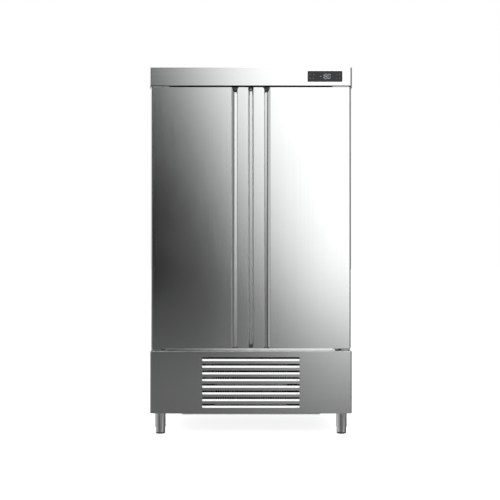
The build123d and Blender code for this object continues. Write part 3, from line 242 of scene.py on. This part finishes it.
# Streaks per metre along x, y and z, and how many of them go into a broader band
UPRIGHT_GRAIN = (900, 900, 5)
ACROSS_GRAIN = (5, 900, 900)
TURNED_GRAIN = (20, 20, 1500)
STREAKS_PER_BAND = 12

STEEL = (0.62, 0.63, 0.63)


class Finish(Shader):
    """Material with a principled shader, object coordinates and softened edges."""

    def __init__(self, name, rough, metallic=0.0, edge=0.0008):
        self.material = bpy.data.materials.new(name)
        super().__init__(self.material)
        self.rough = rough
        self.bsdf = self.add("ShaderNodeBsdfPrincipled", {"Metallic": metallic})
        self.add("ShaderNodeOutputMaterial", {"Surface": self.bsdf.outputs[0]})
        self.place = self.add("ShaderNodeTexCoord").outputs["Object"]
        self.edge = self.add("ShaderNodeBevel", {"Radius": edge}, samples=4).outputs[0]

    def noise(self, scale, detail=3.0, rough=0.5):
        """Noise with one scale, or with its own scale along each axis."""
        scale = (scale,) * 3 if isinstance(scale, (int, float)) else scale
        stretched = self.add("ShaderNodeVectorMath", {0: self.place, 1: scale}, operation="MULTIPLY")
        inputs = {"Vector": stretched.outputs[0], "Scale": 1.0, "Detail": detail, "Roughness": rough}
        return self.add("ShaderNodeTexNoise", inputs).outputs["Fac"]

    def cells(self, scale):
        """Random grey for each cell of a cracked pattern."""
        colour = self.add("ShaderNodeTexVoronoi", {"Vector": self.place, "Scale": scale}).outputs["Color"]
        return self.add("ShaderNodeSeparateXYZ", {0: colour}).outputs[0]

    def upward(self):
        """How far the surface faces up."""
        normal = self.add("ShaderNodeNewGeometry").outputs["Normal"]
        return self.add("ShaderNodeSeparateXYZ", {0: normal}).outputs[2]

    def swing(self, noise, reach):
        """Change from minus to plus a reach over the usual range of a noise."""
        return self.smooth(noise, 0.3, 0.7, -reach, reach)

    def colour(self, value):
        """Base colour, from a socket."""
        self.put(self.bsdf, "Base Color", value)

    def gloss(self, *changes):
        """Roughness around its mean, with each change added."""
        value = self.rough
        for change in changes:
            value = self.math("ADD", value, change)
        self.put(self.bsdf, "Roughness", value)

    def relief(self, height, strength, distance=0.0002):
        """Bump over the softened edges."""
        inputs = {"Strength": strength, "Distance": distance, "Height": height, "Normal": self.edge}
        self.put(self.bsdf, "Normal", self.add("ShaderNodeBump", inputs).outputs[0])


def brushed_steel(name, tone, rough, grain=UPRIGHT_GRAIN, strength=0.03):
    """Stainless sheet with a fine brushed grain and barely seen wiped patches."""
    finish = Finish(name, rough, metallic=1.0)
    fine = finish.noise(grain, 4.0, 0.6)
    bands = finish.noise(tuple(streaks / STREAKS_PER_BAND for streaks in grain), 2.0)
    wiped = finish.noise(3.5, 2.0)
    brushing = finish.math("ADD", fine, finish.math("MULTIPLY", bands, 0.5))
    finish.colour(finish.scaled(tone, finish.smooth(brushing, 0.45, 1.05, 0.975, 1.015)))
    finish.gloss(finish.swing(fine, 0.015), finish.smooth(wiped, 0.35, 0.7, -0.004, 0.005))
    finish.relief(fine, strength)
    return finish.material


def lining_sheet(name, tone, rough):
    """Bright annealed sheet with a fine mottle and a few dull patches."""
    finish = Finish(name, rough, metallic=1.0)
    mottle = finish.noise(260, 4.0, 0.6)
    dull = finish.noise(5)
    finish.colour(finish.scaled(tone, finish.smooth(mottle, 0.3, 0.7, 0.95, 1.04)))
    finish.gloss(finish.swing(mottle, 0.03), finish.smooth(dull, 0.4, 0.7, 0.0, 0.02))
    finish.relief(mottle, 0.05)
    return finish.material


def galvanised_sheet(name):
    """Zinc-coated sheet with its fine spangle of grey flakes."""
    finish = Finish(name, 0.4, metallic=1.0)
    flakes = finish.cells(140)
    small = finish.cells(420)
    dust = finish.noise(6, 4.0)
    flake_shade = finish.smooth(flakes, 0, 1, 0.95, 1.03)
    shade = finish.math("ADD", flake_shade, finish.smooth(small, 0, 1, -0.02, 0.02))
    finish.colour(finish.scaled((0.58, 0.595, 0.61), shade))
    finish.gloss(finish.smooth(flakes, 0, 1, -0.04, 0.04), finish.smooth(dust, 0.4, 0.7, 0.0, 0.06))
    finish.relief(finish.noise(500), 0.05)
    return finish.material


def plated_steel(name, tone, rough):
    """Satin zinc plating on pressed steel, with a fine grain and faint stains."""
    finish = Finish(name, rough, metallic=1.0)
    grain = finish.noise(900, 4.0, 0.65)
    stains = finish.noise(45)
    finish.colour(finish.scaled(tone, finish.smooth(stains, 0.3, 0.75, 1.04, 0.88)))
    finish.gloss(finish.swing(grain, 0.02), finish.smooth(stains, 0.4, 0.7, 0.0, 0.04))
    finish.relief(grain, 0.02)
    return finish.material


def chromed_wire(name, tone):
    """Bright drawn wire with a faint grain and dull spots."""
    finish = Finish(name, 0.16, metallic=1.0)
    grain = finish.noise(500, 2.0)
    spots = finish.noise(60)
    finish.colour(finish.scaled(tone, finish.smooth(spots, 0.3, 0.75, 1.03, 0.9)))
    finish.gloss(finish.swing(grain, 0.04), finish.smooth(spots, 0.5, 0.75, 0.0, 0.08))
    finish.relief(grain, 0.05)
    return finish.material


def moulded_plastic(name, tone, rough):
    """Moulded plastic with a leathery grain and a faintly clouded tone."""
    finish = Finish(name, rough)
    grain = finish.noise(1100, 2.0, 0.6)
    cloud = finish.noise(25)
    finish.colour(finish.scaled(tone, finish.smooth(cloud, 0.3, 0.7, 0.88, 1.12)))
    finish.gloss(finish.swing(grain, 0.06), finish.smooth(cloud, 0.4, 0.7, 0.0, 0.06))
    finish.relief(grain, 0.25)
    return finish.material


def rubber(name, tone, rough):
    """Matt rubber with a paler bloom in patches."""
    finish = Finish(name, rough)
    grain = finish.noise(700, 3.0, 0.6)
    patches = finish.noise(30, 4.0)
    bloom = tuple(2 * channel + 0.02 for channel in tone)
    finish.colour(finish.mix(finish.smooth(patches, 0.45, 0.8, 0.0, 0.35), tone, bloom))
    finish.gloss(finish.swing(grain, 0.05))
    finish.relief(grain, 0.3, 0.0003)
    return finish.material


def stove_paint(name, tone, rough):
    """Baked paint with orange peel and a little dust on what faces up."""
    finish = Finish(name, rough)
    peel = finish.noise(330, 1.5, 0.4)
    patches = finish.noise(40, 4.0)
    lying = finish.smooth(finish.upward(), 0.5, 1.0)
    dust = finish.math("MULTIPLY", lying, finish.smooth(patches, 0.3, 0.7, 0.1, 0.5))
    finish.colour(finish.mix(dust, tone, (0.22, 0.21, 0.19)))
    finish.gloss(finish.math("MULTIPLY", dust, 0.5), finish.smooth(patches, 0.4, 0.7, -0.03, 0.05))
    finish.relief(peel, 0.3, 0.0003)
    return finish.material


def aluminium(name, tone):
    """Rolled aluminium foil with fine roll lines and dull spots."""
    finish = Finish(name, 0.3, metallic=1.0, edge=0.0003)
    lines = finish.noise((300, 300, 12))
    spots = finish.noise(90)
    finish.colour(finish.scaled(tone, finish.smooth(spots, 0.3, 0.75, 1.04, 0.86)))
    finish.gloss(finish.swing(lines, 0.06), finish.smooth(spots, 0.4, 0.7, 0.0, 0.08))
    finish.relief(lines, 0.1)
    return finish.material


def copper_tube(name):
    """Copper tube, browned in patches."""
    finish = Finish(name, 0.28, metallic=1.0)
    tarnish = finish.noise(28, 4.0, 0.6)
    grain = finish.noise(400)
    share = finish.smooth(tarnish, 0.42, 0.68)
    finish.colour(finish.mix(share, (0.78, 0.42, 0.27), (0.38, 0.19, 0.12)))
    finish.gloss(finish.math("MULTIPLY", share, 0.22), finish.swing(grain, 0.05))
    finish.relief(grain, 0.08)
    return finish.material


def rigid_foam(name):
    """Yellowish foam with open pores."""
    finish = Finish(name, 0.85)
    pores = finish.noise(350, 4.0, 0.7)
    skin = finish.noise(9)
    finish.colour(finish.mix(finish.smooth(pores, 0.35, 0.65), (0.62, 0.5, 0.28), (0.84, 0.75, 0.52)))
    finish.gloss(finish.smooth(skin, 0.3, 0.7, -0.08, 0.05))
    finish.relief(pores, 0.6, 0.001)
    return finish.material


def display_glass(name, tone):
    """Smoked cover with a clear coat and faint dust."""
    finish = Finish(name, 0.16)
    dust = finish.noise(600)
    cloud = finish.noise(40, 2.0)
    finish.colour(finish.scaled(tone, finish.smooth(dust, 0.45, 0.75, 0.9, 1.5)))
    finish.gloss(finish.smooth(cloud, 0.35, 0.7, -0.04, 0.06))
    finish.relief(dust, 0.03, 0.0001)
    finish.bsdf.inputs["Coat Weight"].default_value = 0.3
    finish.bsdf.inputs["IOR"].default_value = 1.25
    return finish.material


def lit_mark(name, tone, glow):
    """Lit figures and signs of the display, with a slightly uneven glow."""
    finish = Finish(name, 0.5, edge=0.0002)
    cloud = finish.noise(900, 2.0)
    finish.colour(finish.scaled(tone, finish.smooth(cloud, 0.3, 0.7, 0.85, 1.05)))
    finish.gloss(finish.swing(cloud, 0.05))
    light = finish.scaled(tone, finish.smooth(cloud, 0.25, 0.7, 0.8, 1.05))
    finish.put(finish.bsdf, "Emission Color", light)
    finish.bsdf.inputs["Emission Strength"].default_value = glow
    return finish.material


# Finish of each material slot of the frame
finishes = {
    "outer_steel": brushed_steel("outer_steel", STEEL, 0.15),
    "door_steel": brushed_steel("door_steel", STEEL, 0.14),
    "inner_steel": lining_sheet("inner_steel", (0.66, 0.67, 0.67), 0.24),
    "plain_steel": galvanised_sheet("plain_steel"),
    "hinge_steel": plated_steel("hinge_steel", (0.42, 0.425, 0.43), 0.24),
    "leg_steel": brushed_steel("leg_steel", (0.62, 0.62, 0.62), 0.12, TURNED_GRAIN, 0.06),
    "shelf_wire": chromed_wire("shelf_wire", (0.72, 0.73, 0.74)),
    "screw_steel": plated_steel("screw_steel", (0.62, 0.62, 0.61), 0.25),
    "foam": rigid_foam("foam"),
    "dark_plastic": moulded_plastic("dark_plastic", (0.045, 0.045, 0.048), 0.42),
    "grey_plastic": moulded_plastic("grey_plastic", (0.36, 0.37, 0.37), 0.45),
    "black_display": display_glass("black_display", (0.008, 0.008, 0.009)),
    "black_rubber": rubber("black_rubber", (0.022, 0.022, 0.022), 0.62),
    "gasket_rubber": rubber("gasket_rubber", (0.085, 0.086, 0.09), 0.5),
    "black_paint": stove_paint("black_paint", (0.02, 0.02, 0.022), 0.3),
    "fin_aluminium": aluminium("fin_aluminium", (0.74, 0.75, 0.76)),
    "motor_metal": stove_paint("motor_metal", (0.12, 0.125, 0.13), 0.38),
    "copper": copper_tube("copper"),
    "white_plastic": moulded_plastic("white_plastic", (0.74, 0.75, 0.75), 0.35),
}
across_steel = brushed_steel("across_steel", STEEL, 0.15, ACROSS_GRAIN)
display_rim = moulded_plastic("display_rim", (0.03, 0.03, 0.032), 0.3)
bright_sign = lit_mark("bright_sign", (0.2, 0.22, 0.24), 1.2)
faint_sign = lit_mark("faint_sign", (0.16, 0.17, 0.19), 0.5)


def dress(material, *names):
    """Give CAD nodes one material."""
    for name in names:
        mesh = frame["nodes"][name].data
        mesh.materials.clear()
        mesh.materials.append(material)


# Shapes

SHARP_ANGLE = 38
CORNER_STEPS = 5


class Form:
    """Points and faces of one piece."""

    def __init__(self):
        self.points = []
        self.faces = []
        self.slots = []

    def add(self, faces, slot=0):
        """Faces with the number of their material."""
        self.faces.extend(faces)
        self.slots.extend([slot] * len(faces))

    def loft(self, rings, loop=False, end_slot=0):
        """Skin over rings of equally many points, closed at both ends or into a loop."""
        start, count = len(self.points), len(rings[0])
        for ring in rings:
            self.points.extend(ring)
        faces = []
        for i in range(len(rings) if loop else len(rings) - 1):
            a = start + i * count
            b = start + (i + 1) % len(rings) * count
            for k in range(count):
                n = (k + 1) % count
                faces.append((a + k, a + n, b + n, b + k))
        self.add(faces)
        if not loop:
            last = start + (len(rings) - 1) * count
            self.add([tuple(range(start, start + count))])
            self.add([tuple(range(last, last + count))], end_slot)


def add_piece(name, form, materials, body, replaced=(), angle=SHARP_ANGLE):
    """Make the object of a form, with sharp edges above an angle in degrees."""
    mesh = bpy.data.meshes.new(name)
    mesh.from_pydata(form.points, [], form.faces)
    for material in materials:
        mesh.materials.append(material)
    mesh.polygons.foreach_set("material_index", form.slots)
    shape = bmesh.new()
    shape.from_mesh(mesh)
    bmesh.ops.recalc_face_normals(shape, faces=shape.faces)
    shape.to_mesh(mesh)
    shape.free()
    mesh.polygons.foreach_set("use_smooth", [True] * len(mesh.polygons))
    mesh.set_sharp_from_angle(angle=math.radians(angle))
    piece = bpy.data.objects.new(name, mesh)
    bpy.context.scene.collection.objects.link(piece)
    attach(piece, body)
    if replaced:
        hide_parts(*replaced)


def rounded_ring(low, high, radius, y):
    """Rounded rectangle seen from the front; low and high are its (x, z) corners."""
    points = []
    corners = [(high[0], high[1], 0), (low[0], high[1], 90), (low[0], low[1], 180), (high[0], low[1], 270)]
    for x, z, start in corners:
        centre_x = x - radius if x == high[0] else x + radius
        centre_z = z - radius if z == high[1] else z + radius
        for step in range(CORNER_STEPS + 1):
            turn = math.radians(start + 90 * step / CORNER_STEPS)
            points.append((centre_x + radius * math.cos(turn), y, centre_z + radius * math.sin(turn)))
    return points


def inset_ring(box, inset, radius, y):
    """Rounded rectangle inside the front view of a box."""
    low, high = box
    return rounded_ring((low.x + inset, low.z + inset), (high.x - inset, high.z - inset), radius, y)


# Display

# Section of the rim from its seat to the window: inset, corner radius, and depth behind the front
STEM_INSET = 0.006
RIM_CORNER = 0.005
RIM_DEPTH = 0.001
WINDOW_DEPTH = 0.0003
RIM_PROFILE = [
    (STEM_INSET, RIM_CORNER, RIM_DEPTH), (0, RIM_CORNER, RIM_DEPTH), (0, RIM_CORNER, 0.0004),
    (0.0001, RIM_CORNER, 0.0001), (0.0005, 0.0047, 0), (0.0027, 0.0035, 0), (0.003, 0.0032, WINDOW_DEPTH),
]

# Lit figures, with their places from the middle of the display
DIGIT_WIDTH = 0.0115
DIGIT_HEIGHT = 0.0265
DIGIT_STROKE = 0.0029
DIGIT_LEAN = 0.1
DIGIT_PLACES = [("1", -0.019), ("8", -0.002), ("0", 0.016)]
MINUS_SPAN = (-0.03, -0.02)
POINT_PLACE = 0.013
POINT_RADIUS = 0.0014

# Ends of the seven segments of a figure, as shares of its width and height
SEGMENT_ENDS = {
    "a": ((0, 1), (1, 1)), "b": ((1, 0.5), (1, 1)), "c": ((1, 0), (1, 0.5)), "d": ((0, 0), (1, 0)),
    "e": ((0, 0), (0, 0.5)), "f": ((0, 0.5), (0, 1)), "g": ((0, 0.5), (1, 0.5)),
}
LIT_SEGMENTS = {"1": "bc", "8": "abcdefg", "0": "abcdef"}

# Rows and columns of the signs, from the middle of the display, and the lamp under its top edge
UPPER_ROW = 0.011
LOWER_ROW = -0.0115
FLAKE_COLUMN = -0.0845
FAN_COLUMN = -0.0635
BELL_COLUMN = -0.0655
ARROW_COLUMN = 0.0665
BUTTON_COLUMN = 0.0835
LAMP_DROP = 0.0075
LAMP_RADIUS = 0.0012

# Sizes of the signs
SIGN_LIFT = 0.0002
STROKE_GAP = 0.12
BLUNT_TIP = 0.2
FLAKE_REACH = 0.0036
FLAKE_STROKE = 0.0007
TWIG_LENGTH = 0.0016
TWIG_STROKE = 0.0005
TWIG_LEAN = 0.6
TWIG_START = 0.12
TWIG_SHIFT = 0.3
BLADE_REACH = 0.0034
BLADE_ROOT = 0.0009
BLADE_RIM = (0, 18, 36, 54)
HUB_RADIUS = 0.0007
DROP_RADIUS = 0.0023
DROP_SINK = 0.0008
DROP_TIP = 0.0036
DROP_SWEEP = (-225, 45)
BELL_OUTLINE = [
    (-2.9, -2.2), (2.9, -2.2), (2.1, -1.2), (1.9, 1.2), (0.8, 2.9), (-0.8, 2.9), (-1.9, 1.2), (-2.1, -1.2),
]
CLAPPER_DROP = 0.003
CLAPPER_RADIUS = 0.0007
ARROW_REACH = 0.0032
ARROW_RISE = 0.0016
ARROW_STROKE = 0.001
BUTTON_RADIUS = 0.0028
BUTTON_STROKE = 0.0008
BUTTON_DOT = 0.0011
POWER_BAR = (0.0004, 0.0038)
POWER_SWEEP = (125, 415)
FULL_SWEEP = (0, 360)


def prism(form, outline, y):
    """Thin plate of an outline of (x, z) points, standing on the display's window."""
    form.loft([[(x, y, z) for x, z in outline], [(x, y - SIGN_LIFT, z) for x, z in outline]])


def stroke(form, start, end, width, y, tip=0.5):
    """Bar between two points; tip is the length of its pointed ends as a share of its width."""
    start, end = Vector(start), Vector(end)
    along = (end - start).normalized()
    side = Vector((-along.y, along.x)) * width / 2
    gap = along * width * STROKE_GAP
    back = along * width * tip
    start, end = start + gap, end - gap
    outline = [start, start + back + side, end - back + side, end, end - back - side, start + back - side]
    prism(form, [tuple(point) for point in outline], y)


def digit(form, figure, x, z, y):
    """Figure of seven segments, leaning a little; x and z are its lower left corner."""
    for segment in LIT_SEGMENTS[figure]:
        ends = []
        for u, v in SEGMENT_ENDS[segment]:
            ends.append((x + u * DIGIT_WIDTH + v * DIGIT_HEIGHT * DIGIT_LEAN, z + v * DIGIT_HEIGHT))
        stroke(form, ends[0], ends[1], DIGIT_STROKE, y)


def sweep(first, last, steps):
    """Angles in radians, evenly spaced between two in degrees."""
    return [math.radians(first + (last - first) * k / steps) for k in range(steps + 1)]


def around(x, z, radius, turns):
    """Points of a circle at angles in radians."""
    return [(x + radius * math.cos(turn), z + radius * math.sin(turn)) for turn in turns]


def disc(form, x, z, radius, y, count=20):
    """Round dot."""
    prism(form, around(x, z, radius, [2 * math.pi * k / count for k in range(count)]), y)


def button_ring(form, x, z, span, y, steps=16):
    """Ring of a button sign between two angles in degrees."""
    turns = sweep(*span, steps)
    outer = around(x, z, BUTTON_RADIUS + BUTTON_STROKE / 2, turns)
    inner = around(x, z, BUTTON_RADIUS - BUTTON_STROKE / 2, turns)
    for k in range(steps):
        prism(form, [outer[k], outer[k + 1], inner[k + 1], inner[k]], y)


def snowflake(form, x, z, y):
    """Three crossed bars, with twigs at their ends."""
    middle = Vector((x, z))
    for k in range(3):
        turn = math.radians(60 * k + 30)
        reach = Vector((math.cos(turn), math.sin(turn))) * FLAKE_REACH
        stroke(form, middle - reach, middle + reach, FLAKE_STROKE, y)
        for way in (-1, 1):
            start = middle + reach * way - reach * way * TWIG_START
            for lean in (-TWIG_LEAN, TWIG_LEAN):
                twig = Vector((math.cos(turn + lean), math.sin(turn + lean))) * TWIG_LENGTH * way
                stroke(form, start, start - twig + reach * way * TWIG_SHIFT, TWIG_STROKE, y)


def fan_sign(form, x, z, y):
    """Three blades around a hub."""
    for k in range(3):
        turns = [math.radians(120 * k + step) for step in BLADE_RIM]
        tips = around(x, z, BLADE_REACH, turns)
        roots = around(x, z, BLADE_ROOT, (turns[-1], turns[0]))
        prism(form, tips + roots, y)
    disc(form, x, z, HUB_RADIUS, y, 12)


def drop_sign(form, x, z, y):
    """Drop with its tip up."""
    bowl = around(x, z - DROP_SINK, DROP_RADIUS, sweep(*DROP_SWEEP, 14))
    prism(form, bowl + [(x, z + DROP_TIP)], y)


def bell_sign(form, x, z, y):
    """Bell, from an outline in millimetres, with its clapper."""
    prism(form, [(x + u / 1000, z + v / 1000) for u, v in BELL_OUTLINE], y)
    disc(form, x, z - CLAPPER_DROP, CLAPPER_RADIUS, y, 10)


def arrow_sign(form, x, z, way, y):
    """Open arrow; way is 1 for up and -1 for down."""
    for side in (-1, 1):
        foot = (x + side * ARROW_REACH, z - way * ARROW_RISE)
        stroke(form, foot, (x, z + way * ARROW_RISE), ARROW_STROKE, y, BLUNT_TIP)


def power_sign(form, x, z, y):
    """Ring open at its top, with an upright bar."""
    button_ring(form, x, z, POWER_SWEEP, y)
    stroke(form, (x, z + POWER_BAR[0]), (x, z + POWER_BAR[1]), BUTTON_STROKE, y, BLUNT_TIP)


def set_sign(form, x, z, y):
    """Ring with a dot in its middle."""
    button_ring(form, x, z, FULL_SWEEP, y)
    disc(form, x, z, BUTTON_DOT, y, 12)


def display_window(box):
    """Smoked window in a raised rim, on a stem that stands in the fascia."""
    low, high = box
    rings = [inset_ring(box, STEM_INSET, RIM_CORNER, high.y)]
    rings += [inset_ring(box, inset, corner, low.y + depth) for inset, corner, depth in RIM_PROFILE]
    form = Form()
    form.loft(rings, end_slot=1)
    materials = [display_rim, finishes["black_display"]]
    add_piece("display_window", form, materials, "cabinet", ["display_panel"])


def display_figures(x, z, y):
    """Temperature of three figures, with its minus sign and point; x and z are the display's middle."""
    form = Form()
    stroke(form, (x + MINUS_SPAN[0], z), (x + MINUS_SPAN[1], z), DIGIT_STROKE, y)
    base = z - DIGIT_HEIGHT / 2
    for figure, place in DIGIT_PLACES:
        digit(form, figure, x + place, base, y)
    disc(form, x + POINT_PLACE, base, POINT_RADIUS, y)
    add_piece("display_figures", form, [bright_sign], "cabinet")


def display_signs(x, z, top, y):
    """Plain signs beside the figures, and the lamp above them; x and z are the display's middle."""
    form = Form()
    upper, lower = z + UPPER_ROW, z + LOWER_ROW
    snowflake(form, x + FLAKE_COLUMN, upper, y)
    fan_sign(form, x + FAN_COLUMN, upper, y)
    drop_sign(form, x + FLAKE_COLUMN, lower, y)
    bell_sign(form, x + BELL_COLUMN, lower, y)
    arrow_sign(form, x + ARROW_COLUMN, upper, 1, y)
    arrow_sign(form, x + ARROW_COLUMN, lower, -1, y)
    set_sign(form, x + BUTTON_COLUMN, upper, y)
    power_sign(form, x + BUTTON_COLUMN, lower, y)
    disc(form, x, top - LAMP_DROP, LAMP_RADIUS, y)
    add_piece("display_signs", form, [faint_sign], "cabinet")


def display():
    """Window of the display, with its lit figures and signs."""
    low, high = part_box("display_panel")
    x, z = (low.x + high.x) / 2, (low.z + high.z) / 2
    y = low.y + WINDOW_DEPTH
    display_window((low, high))
    display_figures(x, z, y)
    display_signs(x, z, high.z, y)


# Screws and rivets

# Screw head, in shares of its radius and height: the dome's (size, rise) pairs, then the recess's
# half length, half width and rise, from its rim to its bottom
SCREW_SIDES = 48
SCREW_DOME = [(1.0, 0.0), (1.0, 0.3), (0.95, 0.55), (0.84, 0.78), (0.7, 0.93), (0.6, 0.99)]
SCREW_RECESS = [(0.52, 0.14, 1.0), (0.46, 0.1, 0.55), (0.3, 0.06, 0.35)]

# A shell whose width and height differ by less than this is a screw that faces forward or back
ROUND_TOLERANCE = 0.0001
WELD_DISTANCE = 0.00001


def islands(mesh):
    """Separate shells of a mesh, each as a list of its faces."""
    shape = bmesh.new()
    shape.from_mesh(mesh)
    bmesh.ops.remove_doubles(shape, verts=shape.verts, dist=WELD_DISTANCE)
    seen, found = set(), []
    for face in shape.faces:
        if face in seen:
            continue
        seen.add(face)
        shell, queue = [], [face]
        while queue:
            current = queue.pop()
            shell.append([tuple(vert.co) for vert in current.verts])
            for edge in current.edges:
                for other in edge.link_faces:
                    if other not in seen:
                        seen.add(other)
                        queue.append(other)
        found.append(shell)
    shape.free()
    return found


def cross_radius(turn, arm, width):
    """Distance from the middle to the edge of a cross recess at an angle."""
    turn = abs((turn + math.pi / 4) % (math.pi / 2) - math.pi / 4)
    return min(arm / math.cos(turn), width / max(math.sin(turn), 0.001))


def screw_head(form, centre, radius, height, way):
    """Domed head with a cross recess, whose axis is y; way is the side that it faces."""
    turns = [2 * math.pi * k / SCREW_SIDES for k in range(SCREW_SIDES)]
    sections = [([radius * size] * SCREW_SIDES, rise) for size, rise in SCREW_DOME]
    for arm, width, rise in SCREW_RECESS:
        sections.append(([cross_radius(turn, arm * radius, width * radius) for turn in turns], rise))
    rings = []
    for sizes, rise in sections:
        y = centre[1] + way * (height * rise)
        ring = []
        for size, turn in zip(sizes, turns):
            ring.append((centre[0] + size * math.cos(turn), y, centre[2] + size * math.sin(turn)))
        rings.append(ring)
    form.loft(rings)


def copy_shell(form, shell):
    """Add a shell as it is, with shared corners."""
    places = {}
    faces = []
    for face in shell:
        for point in face:
            if point not in places:
                places[point] = len(form.points)
                form.points.append(point)
        faces.append(tuple(places[point] for point in face))
    form.add(faces)


def fasteners():
    """Screws with cross recesses, and the rivets of the louvres."""
    form = Form()
    for shell in islands(frame["nodes"]["panel_fasteners"].data):
        axes = list(zip(*(point for face in shell for point in face)))
        low = [min(values) for values in axes]
        high = [max(values) for values in axes]
        wide, deep, tall = (high[axis] - low[axis] for axis in range(3))
        if abs(wide - tall) < ROUND_TOLERANCE:
            way = 1 if low[1] > 0 else -1
            base = low[1] if way > 0 else high[1]
            centre = ((low[0] + high[0]) / 2, base, (low[2] + high[2]) / 2)
            screw_head(form, centre, wide / 2, deep, way)
        else:
            copy_shell(form, shell)
    materials = [finishes["screw_steel"]]
    add_piece("cabinet_screws", form, materials, "cabinet", ["panel_fasteners"])


# Door gaskets

# Section in millimetres: how far in from the gasket's outer edge, and how far off the door
GASKET_PROFILE = [
    (0.0, 0.0), (0.0, 1.0), (0.8, 1.9), (2.2, 2.5), (3.0, 3.2), (2.9, 3.9), (1.6, 4.5), (0.4, 5.2),
    (0.0, 6.1), (0.0, 8.3), (0.3, 9.1), (0.9, 9.6), (2.0, 9.7), (14.0, 9.7), (15.1, 9.6), (15.7, 9.1),
    (16.0, 8.3), (16.0, 6.1), (15.6, 5.2), (14.4, 4.5), (13.1, 3.9), (13.0, 3.2), (13.8, 2.5), (15.2, 1.9),
    (16.0, 1.0), (16.0, 0.0),
]
# Its outer side, this many millimetres wide, turns the corners in an arc, and the rest turns them sharply
GASKET_OUTER_SIDE = 3.5
GASKET_OUTER_CORNER = 0.006
GASKET_INNER_CORNER = 0.0006
GASKET_SHARP_ANGLE = 50


def gasket(side):
    """Folded gasket around a door, following the CAD gasket's box."""
    node = side + "_door_gasket"
    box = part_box(node)
    rings = []
    for across, rise in GASKET_PROFILE:
        inset = across / 1000
        corner = GASKET_OUTER_CORNER - inset if across < GASKET_OUTER_SIDE else GASKET_INNER_CORNER
        rings.append(inset_ring(box, inset, corner, box[0].y + rise / 1000))
    form = Form()
    form.loft(rings, loop=True)
    name, body, slot = side + "_gasket_seal", side + "_door", "gasket_rubber"
    add_piece(name, form, [finishes[slot]], body, [node], GASKET_SHARP_ANGLE)


bpy.context.scene.view_settings.view_transform = "Standard"
studio_world()
studio_camera()
studio_floor()

for part in frame["record"]["subparts"]:
    dress(finishes[part["material_slot"]], part["node"])
dress(across_steel, "top_fascia", "front_grille_panel")
dress(finishes["outer_steel"], "front_frame")

display()
fasteners()
gasket("left")
gasket("right")
